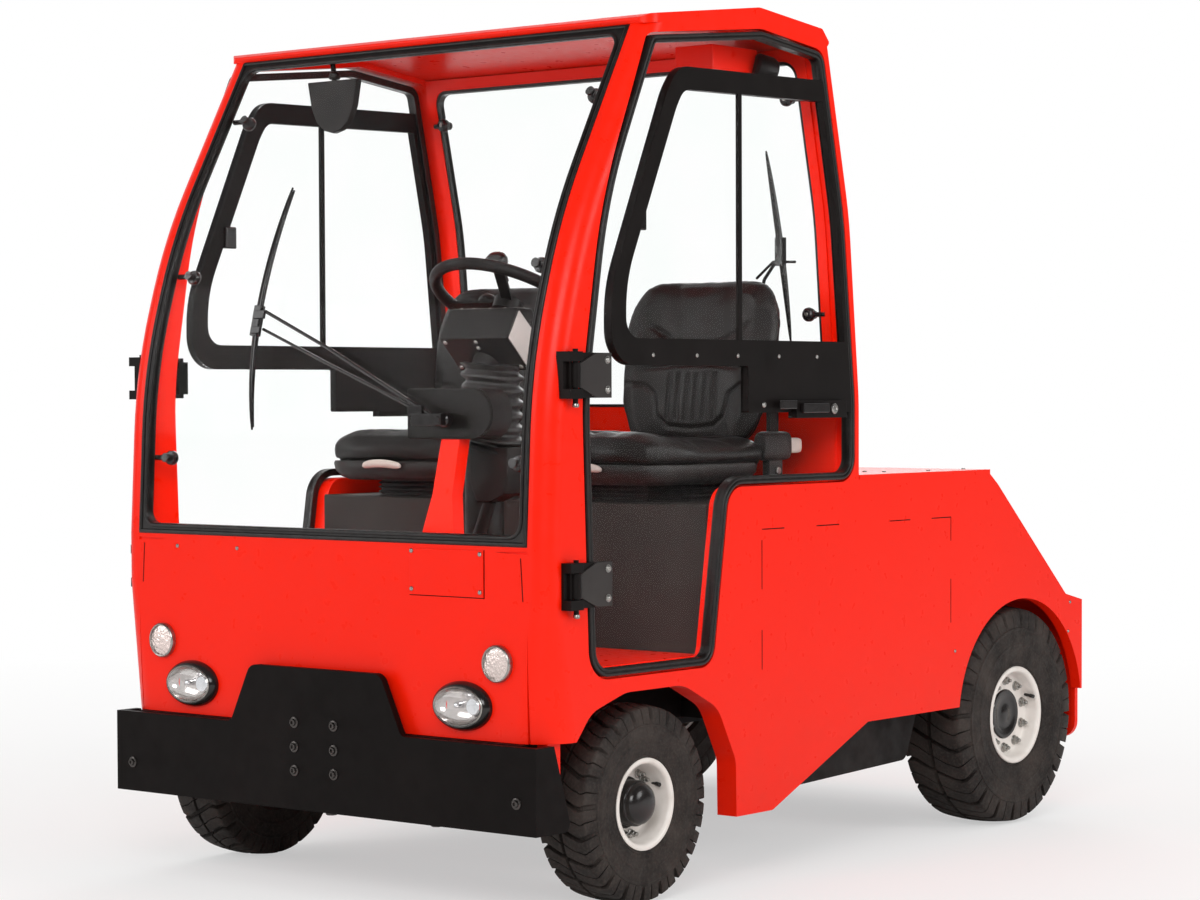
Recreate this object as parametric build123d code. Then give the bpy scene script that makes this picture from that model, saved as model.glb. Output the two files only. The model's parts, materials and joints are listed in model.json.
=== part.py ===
"""Airport baggage tug: a small tractor with a two-seat glazed cab, a low rear deck and a rear drawbar jaw.

Millimetres. X runs across the vehicle and plus X is its left side, Y runs from front to back, Z is up. While
it is modelled, Y is counted from the front axle and Z from the ground. save() then moves every piece by the
same amount along Y, so that the origin lies on the ground under the middle of the vehicle's length and width.
"""
from build123d import *
import math
import os

# ---- driving dimensions: running gear ----
WHEELBASE = 1617.0
FRONT_TYRE_R = 229.0        # out to the tips of the lugs
FRONT_TYRE_W = 150.0
FRONT_LUG_H = 13.0
FRONT_LUG_FOOT_R = 184.0    # where the lugs end on the tyre's side
FRONT_RIM_R = 105.0
FRONT_HUB_R = 53.0
FRONT_CAP_R = 46.0
REAR_TYRE_R = 294.0
REAR_TYRE_W = 196.0
REAR_LUG_H = 16.0
REAR_LUG_FOOT_R = 236.0
REAR_RIM_R = 128.0
REAR_HUB_R = 68.0
LUGS = 20                   # round every tyre
BORE_SIDES = 16             # of the tyre's bore round the rim
GROOVE_W = 13.0             # between two lugs
GROOVE_SLOPE = 0.52         # of the grooves across the middle of the tread
GROOVE_BEND = 0.62          # share of the tyre's half width where they turn straight
BEAD_SLOPE = 26.0           # tyre's side above the rim, where it bulges over the lip
TYRE_INSET = 10.0           # outer side of every tyre inside the body's side
RIM_INSET = 12.0            # rim lip behind the tyre's outer side
RIM_WALL = 9.0
DISC_T = 14.0
SEAT_GAP = 0.3              # clearance where curved pieces sit on each other
KINGPIN_INSET = 54.0        # kingpin behind the front tyre's inner side
KINGPIN_R = 16.0
KINGPIN_EYE_R = 32.0
KINGPIN_EYE_H = 90.0
CHEEK_T = 16.0              # plates of the steering knuckle
SPINDLE_R = 21.0
FRONT_BEAM = 62.0           # height of the front axle beam
TIE_ARM = 118.0             # tie rod behind the kingpins
TIE_PIN_R = 8.0
TIE_ROD_R = 13.0
REAR_TUBE_R = 58.0
REAR_SHAFT_R = 38.0
GEAR_HOUSING_R = 105.0

# ---- driving dimensions: body ----
BODY_HALF = 682.0           # half of the body's width
PILLAR_W = 57.0             # width of the cab's side frames and pillars
PILLAR_ROUND = 45.0         # rounding of the cab's front corners
TUCK_ROUND = 120.0          # the same corner's rounding at the body's lower edge
TUCK_TOP_Z = 720.0          # height where the corner starts to grow rounder
SHEET = 25.0                # front panel and rear wall
SIDE_WALL = 30.0            # body sides behind the cab
COVER = 12.0                # deck and tail covers
FRONT_Y = -366.0            # front face of the body
FRONT_LOW_Z = 397.0         # lower edge of the front of the body
WAIST_Z = 830.0             # lower edge of the windscreen opening
SCREEN_RAKE = 368.0         # top of the windscreen behind its foot
SCREEN_TOP_Z = 2006.0
SCREEN_KNEES = ((21.0, 1230.0), (121.0, 1560.0))    # (behind the foot, height) where the screen bends
SCREEN_BEND_R = 1300.0
ROOF_RIDGE_Y = 424.0
ROOF_RIDGE_Z = 2046.0       # underside of the roof at its ridge
ROOF_T = 34.0
ROOF_FRONT_T = 18.0         # roof over the windscreen
ROOF_BACK_Y = 702.0
ROOF_BACK_Z = 2011.0
CAB_BACK_Y = 838.0
DOOR_SILL_Z = 528.0
DOOR_STEP_Z = 946.0
DECK_Z = 950.0              # top edge of the body sides
DECK_BREAK = 162.0          # deck's rear edge in front of the rear axle
TAIL_DROP = 28.0            # short first slope behind the deck
SEAM_Y = 878.0              # joint between cab side and body side
BODY_LOW_Z = 342.0
SKIRT_LOW_Z = 165.0
TAIL_BEHIND = 320.0         # back edge of the body behind the rear axle
TAIL_TOP_Z = 590.0
REAR_ARCH_GAP = 22.0
REAR_PLATE_T = 15.0
REAR_PLATE_LOW_Z = 202.0
REAR_PLATE_INSET = 22.0     # rear plate's ends inside the body's sides
BUMPER_T = 18.0
BUMPER_INSET = 7.0          # bumper's ends inside the body's sides
BUMPER_AHEAD = 33.0         # bumper's face in front of the body
BUMPER_LOW_Z = 200.0
BUMPER_TOP_Z = 394.0
BUMPER_CENTRE_Z = 532.0
BUMPER_HUMP = (210.0, 275.0)    # half width of its raised middle, at the top and at the foot
FOOT_LOW_Z = 290.0          # lower end of the cab side in front of the wheel
FOOT_DEPTH = 43.0
RAIL_X = 300.0              # middle of each chassis rail
RAIL_W = 70.0
RAIL_LOW_Z = 360.0
RAIL_H = 90.0
SKIRT_T = 55.0
FLOOR_TOP_Z = 550.0
FLOOR_T = 20.0
PLINTH_Y = 280.0
PLINTH_TOP_Z = 905.0
PLINTH_T = 15.0
HITCH_REACH = 98.0          # jaw behind the rear plate
JAW_BORE_R = 16.5
JAW_LOW_Z = 322.0
JAW_PITCH = 96.0            # from one jaw plate to the next
JAW_T = 20.0
JAW_EYE_R = 42.0

# ---- driving dimensions: glass, doors and cab ----
SEAL_W = 25.0               # rubber profile round the windscreen
DOOR_SEAL_W = 18.0
REAR_SEAL_W = 8.0
SEAL_T = 22.0
GLASS_T = 6.0
GLASS_INSET = 8.0           # outer face of the windscreen behind the seal's
SEAL_CORNER_R = 30.0
REAR_WALL_SIDE = 27.0       # wall left beside the rear window
REAR_WINDOW_LOW_Z = 1130.0
REAR_WINDOW_TOP_Z = 1982.0
REAR_WINDOW_CORNER_R = 40.0
REAR_GLASS_INSET = 14.0     # pane in front of the cab's back
DOOR_GAP = 6.0              # running gap round each door
DOOR_T = 26.0
DOOR_GLASS_INSET = 12.0
FRAME_T = 23.0              # black frame of the door's window
FRAME_PROUD = 5.0
PANE_T = 5.0
PANE_LAP = 14.0             # window frame left between the seal and the panes
LATCH_Y = (545.0, 757.0)    # ends of the latch's case
LATCH_Z = (1106.0, 1148.0)
LATCH_PROUD = 14.0
HINGE_OUT = 16.0            # hinge axis outside the body
HINGE_BEHIND = 80.0         # hinge axis behind the body's front
HINGE_ROWS = (1208.0, 744.0)    # middle height of each hinge
HINGE_PIN_R = 6.0
HINGE_EYE_R = 12.0
LEAF_T = 5.0
HEADLAMP = {"inset": 189.0, "z": 471.0, "hole": 50.0, "bezel": 57.0, "proud": 14.0, "depth": 70.0}
INDICATOR = {"inset": 85.0, "z": 571.0, "hole": 37.0, "bezel": 42.0, "proud": 12.0, "depth": 24.0}
SEAT_X = 325.0
SEAT_W = 490.0
SEAT_BASE_X = 290.0
SEAT_BASE_W = 290.0
SEAT_BASE_BACK_Y = 620.0
SEAT_BASE_TOP_Z = 965.0
CUSHION_TOP_Z = 1051.7
STEERING_X = 320.0
WHEEL_Y = -70.0
WHEEL_Z = 1380.0
WHEEL_R = 180.0
WHEEL_GRIP_R = 14.0
COLUMN_LEAN = 28.0          # degrees
COLUMN_R = 45.0
COLUMN_NECK_R = 35.7
COLUMN_KNEE = 190.0         # knee of the column below the steering wheel
SPINDLE_TOP_R = 14.0
WIPER_X = 380.0             # spindle of the front wiper
WIPER_Z = 1110.0
MOTOR_X = (235.0, 489.0)    # ends of the wiper motor's cover
MOTOR_Z = (1066.0, 1181.0)
POST_Y = -322.0             # front of the wiper's post
POST_DEPTH = 36.0
POST_SHEET = 5.0
POD_X = (222.0, 432.0)      # ends of the instrument box
FAN_X = (430.0, 545.0)      # ends of the bracket under the roof
FAN_Y = (418.0, 600.0)
FAN_LOW_Z = 1944.0
MIRROR_X = -350.0
MIRROR_Y = 46.0
MIRROR_T = 24.0
REAR_WIPER_X = 330.0        # spindle of the rear wiper
REAR_WIPER_Z = 1180.0
TAIL_LAMP_X = (470.0, 600.0)
TAIL_LAMP_Z = (470.0, 540.0)
TAIL_LAMP_T = 26.0
PEDAL_Y = (-262.0, -222.0)  # upper and lower edge of each pedal
PEDAL_Z = (640.0, 560.0)

# ---- values worked out from them ----
CAB_INNER = BODY_HALF - PILLAR_W
TYRE_FACE_X = BODY_HALF - TYRE_INSET
KINGPIN_X = TYRE_FACE_X - FRONT_TYRE_W - KINGPIN_INSET
FRONT_AXLE_Z = FRONT_TYRE_R
REAR_AXLE_Z = REAR_TYRE_R
TAIL_Y = WHEELBASE + TAIL_BEHIND
HITCH_Y = TAIL_Y + REAR_PLATE_T
HITCH_END_Y = HITCH_Y + HITCH_REACH
BUMPER_HALF = BODY_HALF - BUMPER_INSET
BUMPER_FRONT_Y = FRONT_Y - BUMPER_AHEAD
BUMPER_BACK_Y = BUMPER_FRONT_Y + BUMPER_T
REAR_PLATE_HALF = BODY_HALF - REAR_PLATE_INSET
SKIRT_OUT = CAB_INNER - 10
SKIRT_X = SKIRT_OUT - SKIRT_T
REAR_WINDOW_HALF = CAB_INNER - REAR_WALL_SIDE
SCREEN_TOP_Y = FRONT_Y + SCREEN_RAKE
ROOF_LIP_Y = SCREEN_TOP_Y - 8
DECK_END_Y = WHEELBASE - DECK_BREAK
PLINTH_BACK_Y = CAB_BACK_Y - SHEET
HINGE_X = BODY_HALF + HINGE_OUT
HINGE_Y = FRONT_Y + HINGE_BEHIND
DOOR_IN = BODY_HALF - DOOR_T
GLASS_FACE_X = BODY_HALF - DOOR_GLASS_INSET
LEAF_X = BODY_HALF + FRAME_PROUD + SEAT_GAP
MIDDLE_Y = (BUMPER_FRONT_Y + HITCH_END_Y) / 2
SIDES = (("left", 1), ("right", -1))


# ---- small helpers ----
def block(x0, x1, y0, y1, z0, z1):
    """Box between two corners."""
    return Pos((x0 + x1) / 2, (y0 + y1) / 2, (z0 + z1) / 2) * Box(x1 - x0, y1 - y0, z1 - z0)


def rod(start, end, radius):
    """Round bar from one point to another."""
    a, b = Vector(start), Vector(end)
    plane = Plane(origin=a, z_dir=b - a)
    return extrude(plane * Circle(radius), amount=(b - a).length)


def outline(rows):
    """Closed face from rows of (first coordinate, second coordinate, corner radius)."""
    points = [(row[0], row[1]) for row in rows]
    radii = [row[2] for row in rows]
    return make_face(FilletPolyline(*points, radius=radii, close=True))


def across(face, x0, x1):
    """Extrude a face drawn in (y, z) from x0 to x1."""
    return Pos(x0, 0, 0) * extrude(Plane.YZ * face, amount=x1 - x0)


def along(face, y0, y1):
    """Extrude a face drawn in (x, z) from y0 to y1."""
    return Pos(0, y1, 0) * extrude(Plane.XZ * face, amount=y1 - y0)


def on_side(shape, side):
    """A piece drawn for the left side, or its mirror image on the right."""
    return shape if side > 0 else mirror(shape, about=Plane.YZ)


def both(shape):
    """A left piece and its mirror image, as two solids."""
    return Compound(children=[*shape.solids(), *mirror(shape, about=Plane.YZ).solids()])


def group(*shapes):
    """Several solids that share a node and don't touch."""
    return Compound(children=[solid for shape in shapes for solid in shape.solids()])


def save(name, shape):
    """Write one node, moved to the origin under the middle of the vehicle."""
    os.makedirs("parts", exist_ok=True)
    export_step(Pos(0, -MIDDLE_Y, 0) * shape, f"parts/{name}.step")


# ---- outlines seen from the side, as rows of (y, z, corner radius) ----
def front_line(inset):
    """Front edge of the cab from the windscreen sill up to the roof, moved back by inset."""
    knees = [(FRONT_Y + back + inset, z, SCREEN_BEND_R) for back, z in SCREEN_KNEES]
    return [(FRONT_Y + inset, WAIST_Z, 0)] + knees + [(SCREEN_TOP_Y + inset, SCREEN_TOP_Z, 0)]


def rear_line(inset):
    """Back edge of the cab from the roof down to the deck, moved forward by inset."""
    back = CAB_BACK_Y - inset
    top = (ROOF_BACK_Y - inset, ROOF_BACK_Z, 0)
    return [top, (back - 42, 1600, 900), (back, 1150, 700), (back, DECK_Z, 0)]


def roof_outline():
    under = [(SCREEN_TOP_Y, SCREEN_TOP_Z, 0), (ROOF_RIDGE_Y, ROOF_RIDGE_Z, 0), (ROOF_BACK_Y, ROOF_BACK_Z, 0)]
    back_lip = [(ROOF_BACK_Y + 10, ROOF_BACK_Z + 11, 6), (ROOF_BACK_Y - 20, ROOF_BACK_Z + ROOF_T + 8, 12)]
    front_lip = [(SCREEN_TOP_Y + 12, SCREEN_TOP_Z + ROOF_FRONT_T + 4, 8), (ROOF_LIP_Y, SCREEN_TOP_Z + 12, 5)]
    return outline(under + back_lip + [(ROOF_RIDGE_Y, ROOF_RIDGE_Z + ROOF_T, 60)] + front_lip)


def door_opening():
    """Opening of the door, whose lower rear corner steps up over the body."""
    back = CAB_BACK_Y - 16
    front = FRONT_Y + 144
    return outline([(front, DOOR_SILL_Z, 70), (front - 23, 1180, 900), (front + 50, 1610, 1100),
                    (SCREEN_TOP_Y + 4, SCREEN_TOP_Z - 22, 28), (430, ROOF_RIDGE_Z - 16, 80),
                    (ROOF_BACK_Y - 16, ROOF_BACK_Z - 11, 45), (back - 48, 1600, 900), (back, 1150, 500),
                    (back, DOOR_STEP_Z, 62), (300, DOOR_STEP_Z, 55), (235, DOOR_SILL_Z, 55)])


# arches, door window and window frame, as rows of (y, z, corner radius)
FRONT_ARCH = [(-292, 100, 0), (-292, 368, 20), (-215, 458, 90), (-92, 494, 120), (120, 494, 120),
              (252, 430, 90), (322, 300, 60), (326, 100, 0)]
DOOR_WINDOW = [(-93, 1292, 45), (-93, 1420, 300), (94, 1822, 200), (122, 1864, 45), (712, 1876, 20),
               (790, 1500, 0), (800, 1292, 12)]
DOOR_FRAME = [(-146, 1231, 80), (-146, 1405, 300), (60, 1858, 200), (104, 1916, 70), (760, 1928, 20),
              (860, 1500, 0), (860, 1120, 0), (368, 1120, 6), (368, 1231, 6)]


def cab_side_outline():
    """One side frame of the cab with its step and skirt, before the door and the arch are cut."""
    rows = [(FRONT_Y, FRONT_LOW_Z, 0)]
    rows += front_line(0)
    rows += [(ROOF_RIDGE_Y, ROOF_RIDGE_Z, 0)]
    rows += rear_line(0)
    rows += [(SEAM_Y, DECK_Z, 0), (SEAM_Y, BODY_LOW_Z, 0), (470, SKIRT_LOW_Z, 30), (200, SKIRT_LOW_Z, 0),
             (200, FRONT_LOW_Z, 0)]
    return outline(rows)


# ---- body ----
def corner_cutter():
    """What the growing rounding takes off the lower left front corner."""
    margin = 5
    sections = []
    for z, radius in ((FOOT_LOW_Z - 100, TUCK_ROUND + 12), (TUCK_TOP_Z, PILLAR_ROUND - 2)):
        x, y, turn = BODY_HALF - radius, FRONT_Y + radius, radius * math.sqrt(0.5)
        with BuildSketch(Plane.XY.offset(z)) as section:
            with BuildLine():
                Polyline((x, FRONT_Y), (x, FRONT_Y - margin), (BODY_HALF + margin, FRONT_Y - margin),
                         (BODY_HALF + margin, y), (BODY_HALF, y))
                ThreePointArc((BODY_HALF, y), (x + turn, y - turn), (x, FRONT_Y))
            make_face()
        sections.append(section.sketch.face())
    return Solid.make_loft([face.outer_wire() for face in sections], ruled=True)


def cab_side():
    frame = across(cab_side_outline(), CAB_INNER, BODY_HALF)
    front_edges = [edge for edge in frame.faces().sort_by(Axis.X)[-1].edges()
                   if edge.center().Y < SCREEN_TOP_Y and edge.center().Z > FRONT_LOW_Z + 1]
    frame = fillet(front_edges, PILLAR_ROUND)
    frame -= across(door_opening(), CAB_INNER - 1, BODY_HALF + 1)
    frame -= across(outline(FRONT_ARCH), CAB_INNER - 1, BODY_HALF + 1)
    arch_front = FRONT_ARCH[0][0]
    foot_out = BUMPER_HALF - BUMPER_T - 2
    frame += block(CAB_INNER, foot_out, arch_front - FOOT_DEPTH, arch_front, FOOT_LOW_Z, FRONT_LOW_Z)
    return frame - corner_cutter()


def tail_line():
    """Top edge behind the cab, from the deck's end down to the rear plate."""
    return [(DECK_END_Y, DECK_Z, 0), (DECK_END_Y + 39, DECK_Z - TAIL_DROP, 0),
            (TAIL_Y - 88, TAIL_TOP_Z + 20, 0), (TAIL_Y, TAIL_TOP_Z, 0)]


def body_side():
    rows = [(SEAM_Y, BODY_LOW_Z, 0), (SEAM_Y, DECK_Z, 0)] + tail_line() + [(TAIL_Y, BODY_LOW_Z, 0)]
    wall = across(outline(rows), BODY_HALF - SIDE_WALL, BODY_HALF)
    arch = Circle(REAR_TYRE_R + REAR_ARCH_GAP)
    return wall - across(Pos(WHEELBASE, REAR_AXLE_Z) * arch, BODY_HALF - SIDE_WALL - 1, BODY_HALF + 1)


def deck_cover():
    return block(-BODY_HALF, BODY_HALF, CAB_BACK_Y + 4, DECK_END_Y, DECK_Z, DECK_Z + COVER)


def tail_cover():
    """Bent sheet from the deck down to the rear plate."""
    under = [(TAIL_Y, TAIL_TOP_Z - COVER, 0), (TAIL_Y - 92, TAIL_TOP_Z + 20 - COVER, 0),
             (DECK_END_Y + 32, DECK_Z - TAIL_DROP - COVER, 0), (DECK_END_Y - 8, DECK_Z - COVER, 0),
             (DECK_END_Y - 8, DECK_Z, 0)]
    inner = BODY_HALF - SIDE_WALL
    return across(outline(tail_line() + under), -inner, inner)


def rear_plate():
    low, top, half = REAR_PLATE_LOW_Z, TAIL_TOP_Z, REAR_PLATE_HALF
    face = outline([(-half, low, 45), (half, low, 45), (half, top, 6), (-half, top, 6)])
    return along(face, TAIL_Y, TAIL_Y + REAR_PLATE_T)


def lamp_x(lamp):
    return CAB_INNER - lamp["inset"]


def front_panel():
    """Front panel with its lamp holes, side seams that open downwards and notches under the glass."""
    half, low, top = CAB_INNER, FRONT_LOW_Z, WAIST_Z
    face = outline([(-half + 6, low, 0), (half - 6, low, 0), (half, low + 250, 0), (half, top, 0),
                    (-half, top, 0), (-half, low + 250, 0)])
    panel = along(face, FRONT_Y, FRONT_Y + SHEET)
    for lamp in (HEADLAMP, INDICATOR):
        for side in (1, -1):
            start = (side * lamp_x(lamp), FRONT_Y - 5, lamp["z"])
            end = (side * lamp_x(lamp), FRONT_Y + SHEET + 5, lamp["z"])
            panel -= rod(start, end, lamp["hole"])
    notch = outline([(half - 95, top - 12, 0), (half, top - 9, 0), (half, top - 16, 0)])
    panel -= both(along(notch, FRONT_Y - 1, FRONT_Y + 4))
    return panel - both(corner_cutter())


def roof():
    """Roof sheet with its front corners rounded like the cab's."""
    top = ROOF_RIDGE_Z + ROOF_T
    plan = outline([(-BODY_HALF, ROOF_LIP_Y, PILLAR_ROUND), (BODY_HALF, ROOF_LIP_Y, PILLAR_ROUND),
                    (BODY_HALF, CAB_BACK_Y, 0), (-BODY_HALF, CAB_BACK_Y, 0)])
    sheet = across(roof_outline(), -BODY_HALF, BODY_HALF)
    return sheet & (Pos(0, 0, WAIST_Z) * extrude(plan, amount=top - WAIST_Z + 10))


def band(line, thickness):
    """Closed band between a line of rows and the same line moved along Y by thickness."""
    back = [(row[0] + thickness, row[1], row[2]) for row in reversed(line)]
    return outline(line + back)


def screen_hole():
    """Rounded opening inside the windscreen's seal, from in front of the cab to behind the screen's top."""
    half, low, top, radius = CAB_INNER - SEAL_W, WAIST_Z + SEAL_W, SCREEN_TOP_Z - SEAL_W, SEAL_CORNER_R
    face = outline([(-half, low, radius), (half, low, radius), (half, top, radius), (-half, top, radius)])
    return along(face, FRONT_Y - 100, SCREEN_TOP_Y + 100)


def windscreen_seal():
    return across(band(front_line(0), SEAL_T), -CAB_INNER, CAB_INNER) - screen_hole()


def windscreen():
    return across(band(front_line(GLASS_INSET), GLASS_T), -CAB_INNER, CAB_INNER) & screen_hole()


def rear_window_hole(inset):
    half, low, top = REAR_WINDOW_HALF - inset, REAR_WINDOW_LOW_Z + inset, REAR_WINDOW_TOP_Z - inset
    radius = REAR_WINDOW_CORNER_R - inset
    face = outline([(-half, low, radius), (half, low, radius), (half, top, radius), (-half, top, radius)])
    return along(face, ROOF_BACK_Y - 200, CAB_BACK_Y + 100)


def rear_wall():
    wall = across(band(rear_line(SHEET), SHEET), -CAB_INNER, CAB_INNER)
    wall += block(-CAB_INNER, CAB_INNER, CAB_BACK_Y - SHEET, CAB_BACK_Y, PLINTH_TOP_Z, DECK_Z)
    return wall - rear_window_hole(0)


def rear_window_seal():
    ring = across(band(rear_line(SHEET - 2), SEAL_T), -REAR_WINDOW_HALF, REAR_WINDOW_HALF)
    return (ring & rear_window_hole(0)) - rear_window_hole(REAR_SEAL_W)


def rear_window():
    pane = across(band(rear_line(REAR_GLASS_INSET), GLASS_T), -REAR_WINDOW_HALF, REAR_WINDOW_HALF)
    return pane & rear_window_hole(REAR_SEAL_W)


def cab_floor():
    low = FLOOR_TOP_Z - FLOOR_T
    return block(-CAB_INNER, CAB_INNER, FRONT_Y + SHEET, PLINTH_Y + PLINTH_T, low, FLOOR_TOP_Z)


def seat_plinth():
    """Bent sheet that carries the seats: its front stands on the floor, its top reaches the rear wall."""
    rows = [(PLINTH_Y, FLOOR_TOP_Z, 0), (PLINTH_Y, PLINTH_TOP_Z, 6), (PLINTH_BACK_Y, PLINTH_TOP_Z, 0),
            (PLINTH_BACK_Y, PLINTH_TOP_Z - PLINTH_T, 0), (PLINTH_Y + PLINTH_T, PLINTH_TOP_Z - PLINTH_T, 0),
            (PLINTH_Y + PLINTH_T, FLOOR_TOP_Z, 0)]
    return across(outline(rows), -CAB_INNER, CAB_INNER)


def front_bumper():
    """Flat plate with a raised middle and a tapered return at each end."""
    half, low, top, mid = BUMPER_HALF, BUMPER_LOW_Z, BUMPER_TOP_Z, BUMPER_CENTRE_Z
    hump_top, hump_foot = BUMPER_HUMP
    face = outline([(-half, low, 0), (half, low, 0), (half, top, 0), (hump_foot, top, 20),
                    (hump_top, mid, 30), (-hump_top, mid, 30), (-hump_foot, top, 20), (-half, top, 0)])
    plate = along(face, BUMPER_FRONT_Y, BUMPER_BACK_Y)
    flange = outline([(BUMPER_BACK_Y, top, 0), (BUMPER_BACK_Y, low, 0), (BUMPER_BACK_Y + 105, low, 20),
                      (BUMPER_BACK_Y + 45, top, 0)])
    return plate + both(across(flange, half - BUMPER_T, half))


def chassis_frame():
    """Two rails with cross members, outriggers for the skirts and arms that hold the bumper."""
    inner, outer = RAIL_X - RAIL_W / 2, RAIL_X + RAIL_W / 2
    low, top = RAIL_LOW_Z, RAIL_LOW_Z + RAIL_H
    front, back = FRONT_Y + SHEET, TAIL_Y
    frame = block(-outer, -inner, front, back, low, top) + block(inner, outer, front, back, low, top)
    for y, depth in ((front + 20, 40), (470, 60), (1080, 60), (back - 15, 30)):
        frame += block(-outer, outer, y - depth / 2, y + depth / 2, low, top)
    for y in (580, 1060):
        frame += both(block(inner, SKIRT_X, y - 20, y + 20, low, low + 40))
    return frame + both(block(120, 200, BUMPER_BACK_Y, front + 40, low - 60, FRONT_LOW_Z - 3))


def chassis_skirts():
    rows = [(480, 205, 0), (560, 195, 20), (1150, 215, 30), (1230, 400, 0), (480, 400, 0)]
    return across(outline(rows), SKIRT_X, SKIRT_OUT)


# ---- running gear ----
def front_axle():
    """Beam between the kingpin eyes, with a pad under each chassis rail."""
    z, eye_r, reach = FRONT_AXLE_Z, KINGPIN_EYE_R, KINGPIN_EYE_R + 25
    half_beam, half_eye = FRONT_BEAM / 2, KINGPIN_EYE_H / 2
    axle = block(-KINGPIN_X + reach, KINGPIN_X - reach, -32, 32, z - half_beam, z + half_beam)
    end = block(KINGPIN_X - reach - 3, KINGPIN_X, -22, 22, z - 22, z + 22)
    end += rod((KINGPIN_X, 0, z - half_eye), (KINGPIN_X, 0, z + half_eye), eye_r)
    end += block(RAIL_X - RAIL_W / 2, RAIL_X + RAIL_W / 2, -32, 32, z + half_beam, RAIL_LOW_Z)
    bore = rod((KINGPIN_X, 0, z - 2 * half_eye), (KINGPIN_X, 0, z + 2 * half_eye), KINGPIN_R + SEAT_GAP)
    return axle + both(end) - both(bore)


def wheel_plane(width):
    """Middle of a wheel from its tyre width."""
    return TYRE_FACE_X - width / 2


def knuckle_arm_z():
    """Underside of the steering arm, which is the knuckle's upper plate."""
    return FRONT_AXLE_Z + KINGPIN_EYE_H / 2 + 1


def steering_knuckle():
    """Fork round the axle's eye with its kingpin, wheel spindle and steering arm."""
    x, z, fork_in = KINGPIN_X, FRONT_AXLE_Z, KINGPIN_EYE_H / 2 + 1
    root = x + KINGPIN_EYE_R + 6
    low, high, arm = z - fork_in - CHEEK_T, z + fork_in + CHEEK_T, knuckle_arm_z()
    body = rod((x, 0, low), (x, 0, high), KINGPIN_R)
    for cheek_z in (low, arm):
        body += block(x - 24, root + CHEEK_T, -26, 26, cheek_z, cheek_z + CHEEK_T)
    body += block(root, root + CHEEK_T, -26, 26, low, high)
    body += rod((root + CHEEK_T - 2, 0, z), (TYRE_FACE_X - 40, 0, z), SPINDLE_R)
    body += block(x - 20, x + 20, 24, TIE_ARM + 16, arm, arm + CHEEK_T)
    return body + rod((x, TIE_ARM, arm - 26), (x, TIE_ARM, arm + 2), TIE_PIN_R)


def tie_rod():
    """Bar between the two steering arms, with an eye on each arm's pin."""
    z = knuckle_arm_z() - 15
    bar = rod((-KINGPIN_X, TIE_ARM, z), (KINGPIN_X, TIE_ARM, z), TIE_ROD_R)
    eye = rod((KINGPIN_X, TIE_ARM, z - 10), (KINGPIN_X, TIE_ARM, z + 10), TIE_PIN_R + 10)
    bore = rod((KINGPIN_X, TIE_ARM, z - 20), (KINGPIN_X, TIE_ARM, z + 20), TIE_PIN_R + SEAT_GAP)
    return bar + both(eye) - both(bore)


def rim(axle_y, axle_z, tyre_w, rim_r, disc_x, bore_r, hub_r, hub_in, hub_out):
    """Barrel, disc and hub of one left wheel."""
    outer = TYRE_FACE_X - RIM_INSET
    inner = TYRE_FACE_X - tyre_w + RIM_INSET
    y, z = axle_y, axle_z
    wheel = rod((inner, y, z), (outer, y, z), rim_r)
    wheel -= rod((inner - 1, y, z), (outer + 1, y, z), rim_r - RIM_WALL)
    wheel += rod((disc_x - DISC_T, y, z), (disc_x, y, z), rim_r - RIM_WALL / 2)
    wheel += rod((hub_in, y, z), (hub_out, y, z), hub_r)
    return wheel - rod((hub_in - 1, y, z), (hub_out - 14, y, z), bore_r + SEAT_GAP)


def many_sided(sections, sides, on_corners=False):
    """Flat-sided solid about X through sections of (x, radius), with a corner above its axis."""
    wires = []
    for x, radius in sections:
        polygon = RegularPolygon(radius, sides, major_radius=on_corners)
        wires.append((Plane.YZ.offset(x) * polygon).face().outer_wire())
    return Solid.make_loft(wires, ruled=True)


def to_both_sides(rows):
    """Sections of (x, radius) from one side of the tyre to its middle, and their mirror images."""
    return [(-x, radius) for x, radius in rows] + [(x, radius) for x, radius in reversed(rows)]


def groove_bar(half, low, high):
    """What one groove takes off the tread at its top: straight at both ends and slanted in between."""
    bend, end, side = GROOVE_BEND * half, half + 6, GROOVE_W / 2
    rise = bend * GROOVE_SLOPE
    line = [(-end, rise), (-bend, rise), (bend, -rise), (end, -rise)]
    front = [(x, y - side) for x, y in line]
    back = [(x, y + side) for x, y in reversed(line)]
    return Pos(0, 0, low) * extrude(make_face(Polyline(*front, *back, close=True)), amount=high - low)


def tyre(axle_y, axle_z, tyre_r, tyre_w, rim_r, lug_h, foot_r):
    """Tyre with its lugs, in few flat faces: a plain body, and a tread cut through by the grooves."""
    half = tyre_w / 2
    body = many_sided(to_both_sides([(half, foot_r), (half - 0.15 * tyre_w, tyre_r - lug_h)]), LUGS)
    edge = [(half, foot_r), (half - 0.04 * tyre_w, tyre_r - 0.85 * lug_h), (half - 0.13 * tyre_w, tyre_r)]
    tread = many_sided(to_both_sides(edge), LUGS, on_corners=True)
    bar = groove_bar(half, foot_r - 3 * lug_h, tyre_r + lug_h)
    tread = tread.cut(*[Rot(360 / LUGS * (lug + 0.5), 0, 0) * bar for lug in range(LUGS)])
    bead, slope = rim_r + SEAT_GAP, BEAD_SLOPE / RIM_INSET
    seat = [(half + 1, bead + BEAD_SLOPE + slope), (half - RIM_INSET, bead)]
    bore = many_sided(to_both_sides(seat), BORE_SIDES)
    return Pos(wheel_plane(tyre_w), axle_y, axle_z) * (body + tread - bore)


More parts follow.
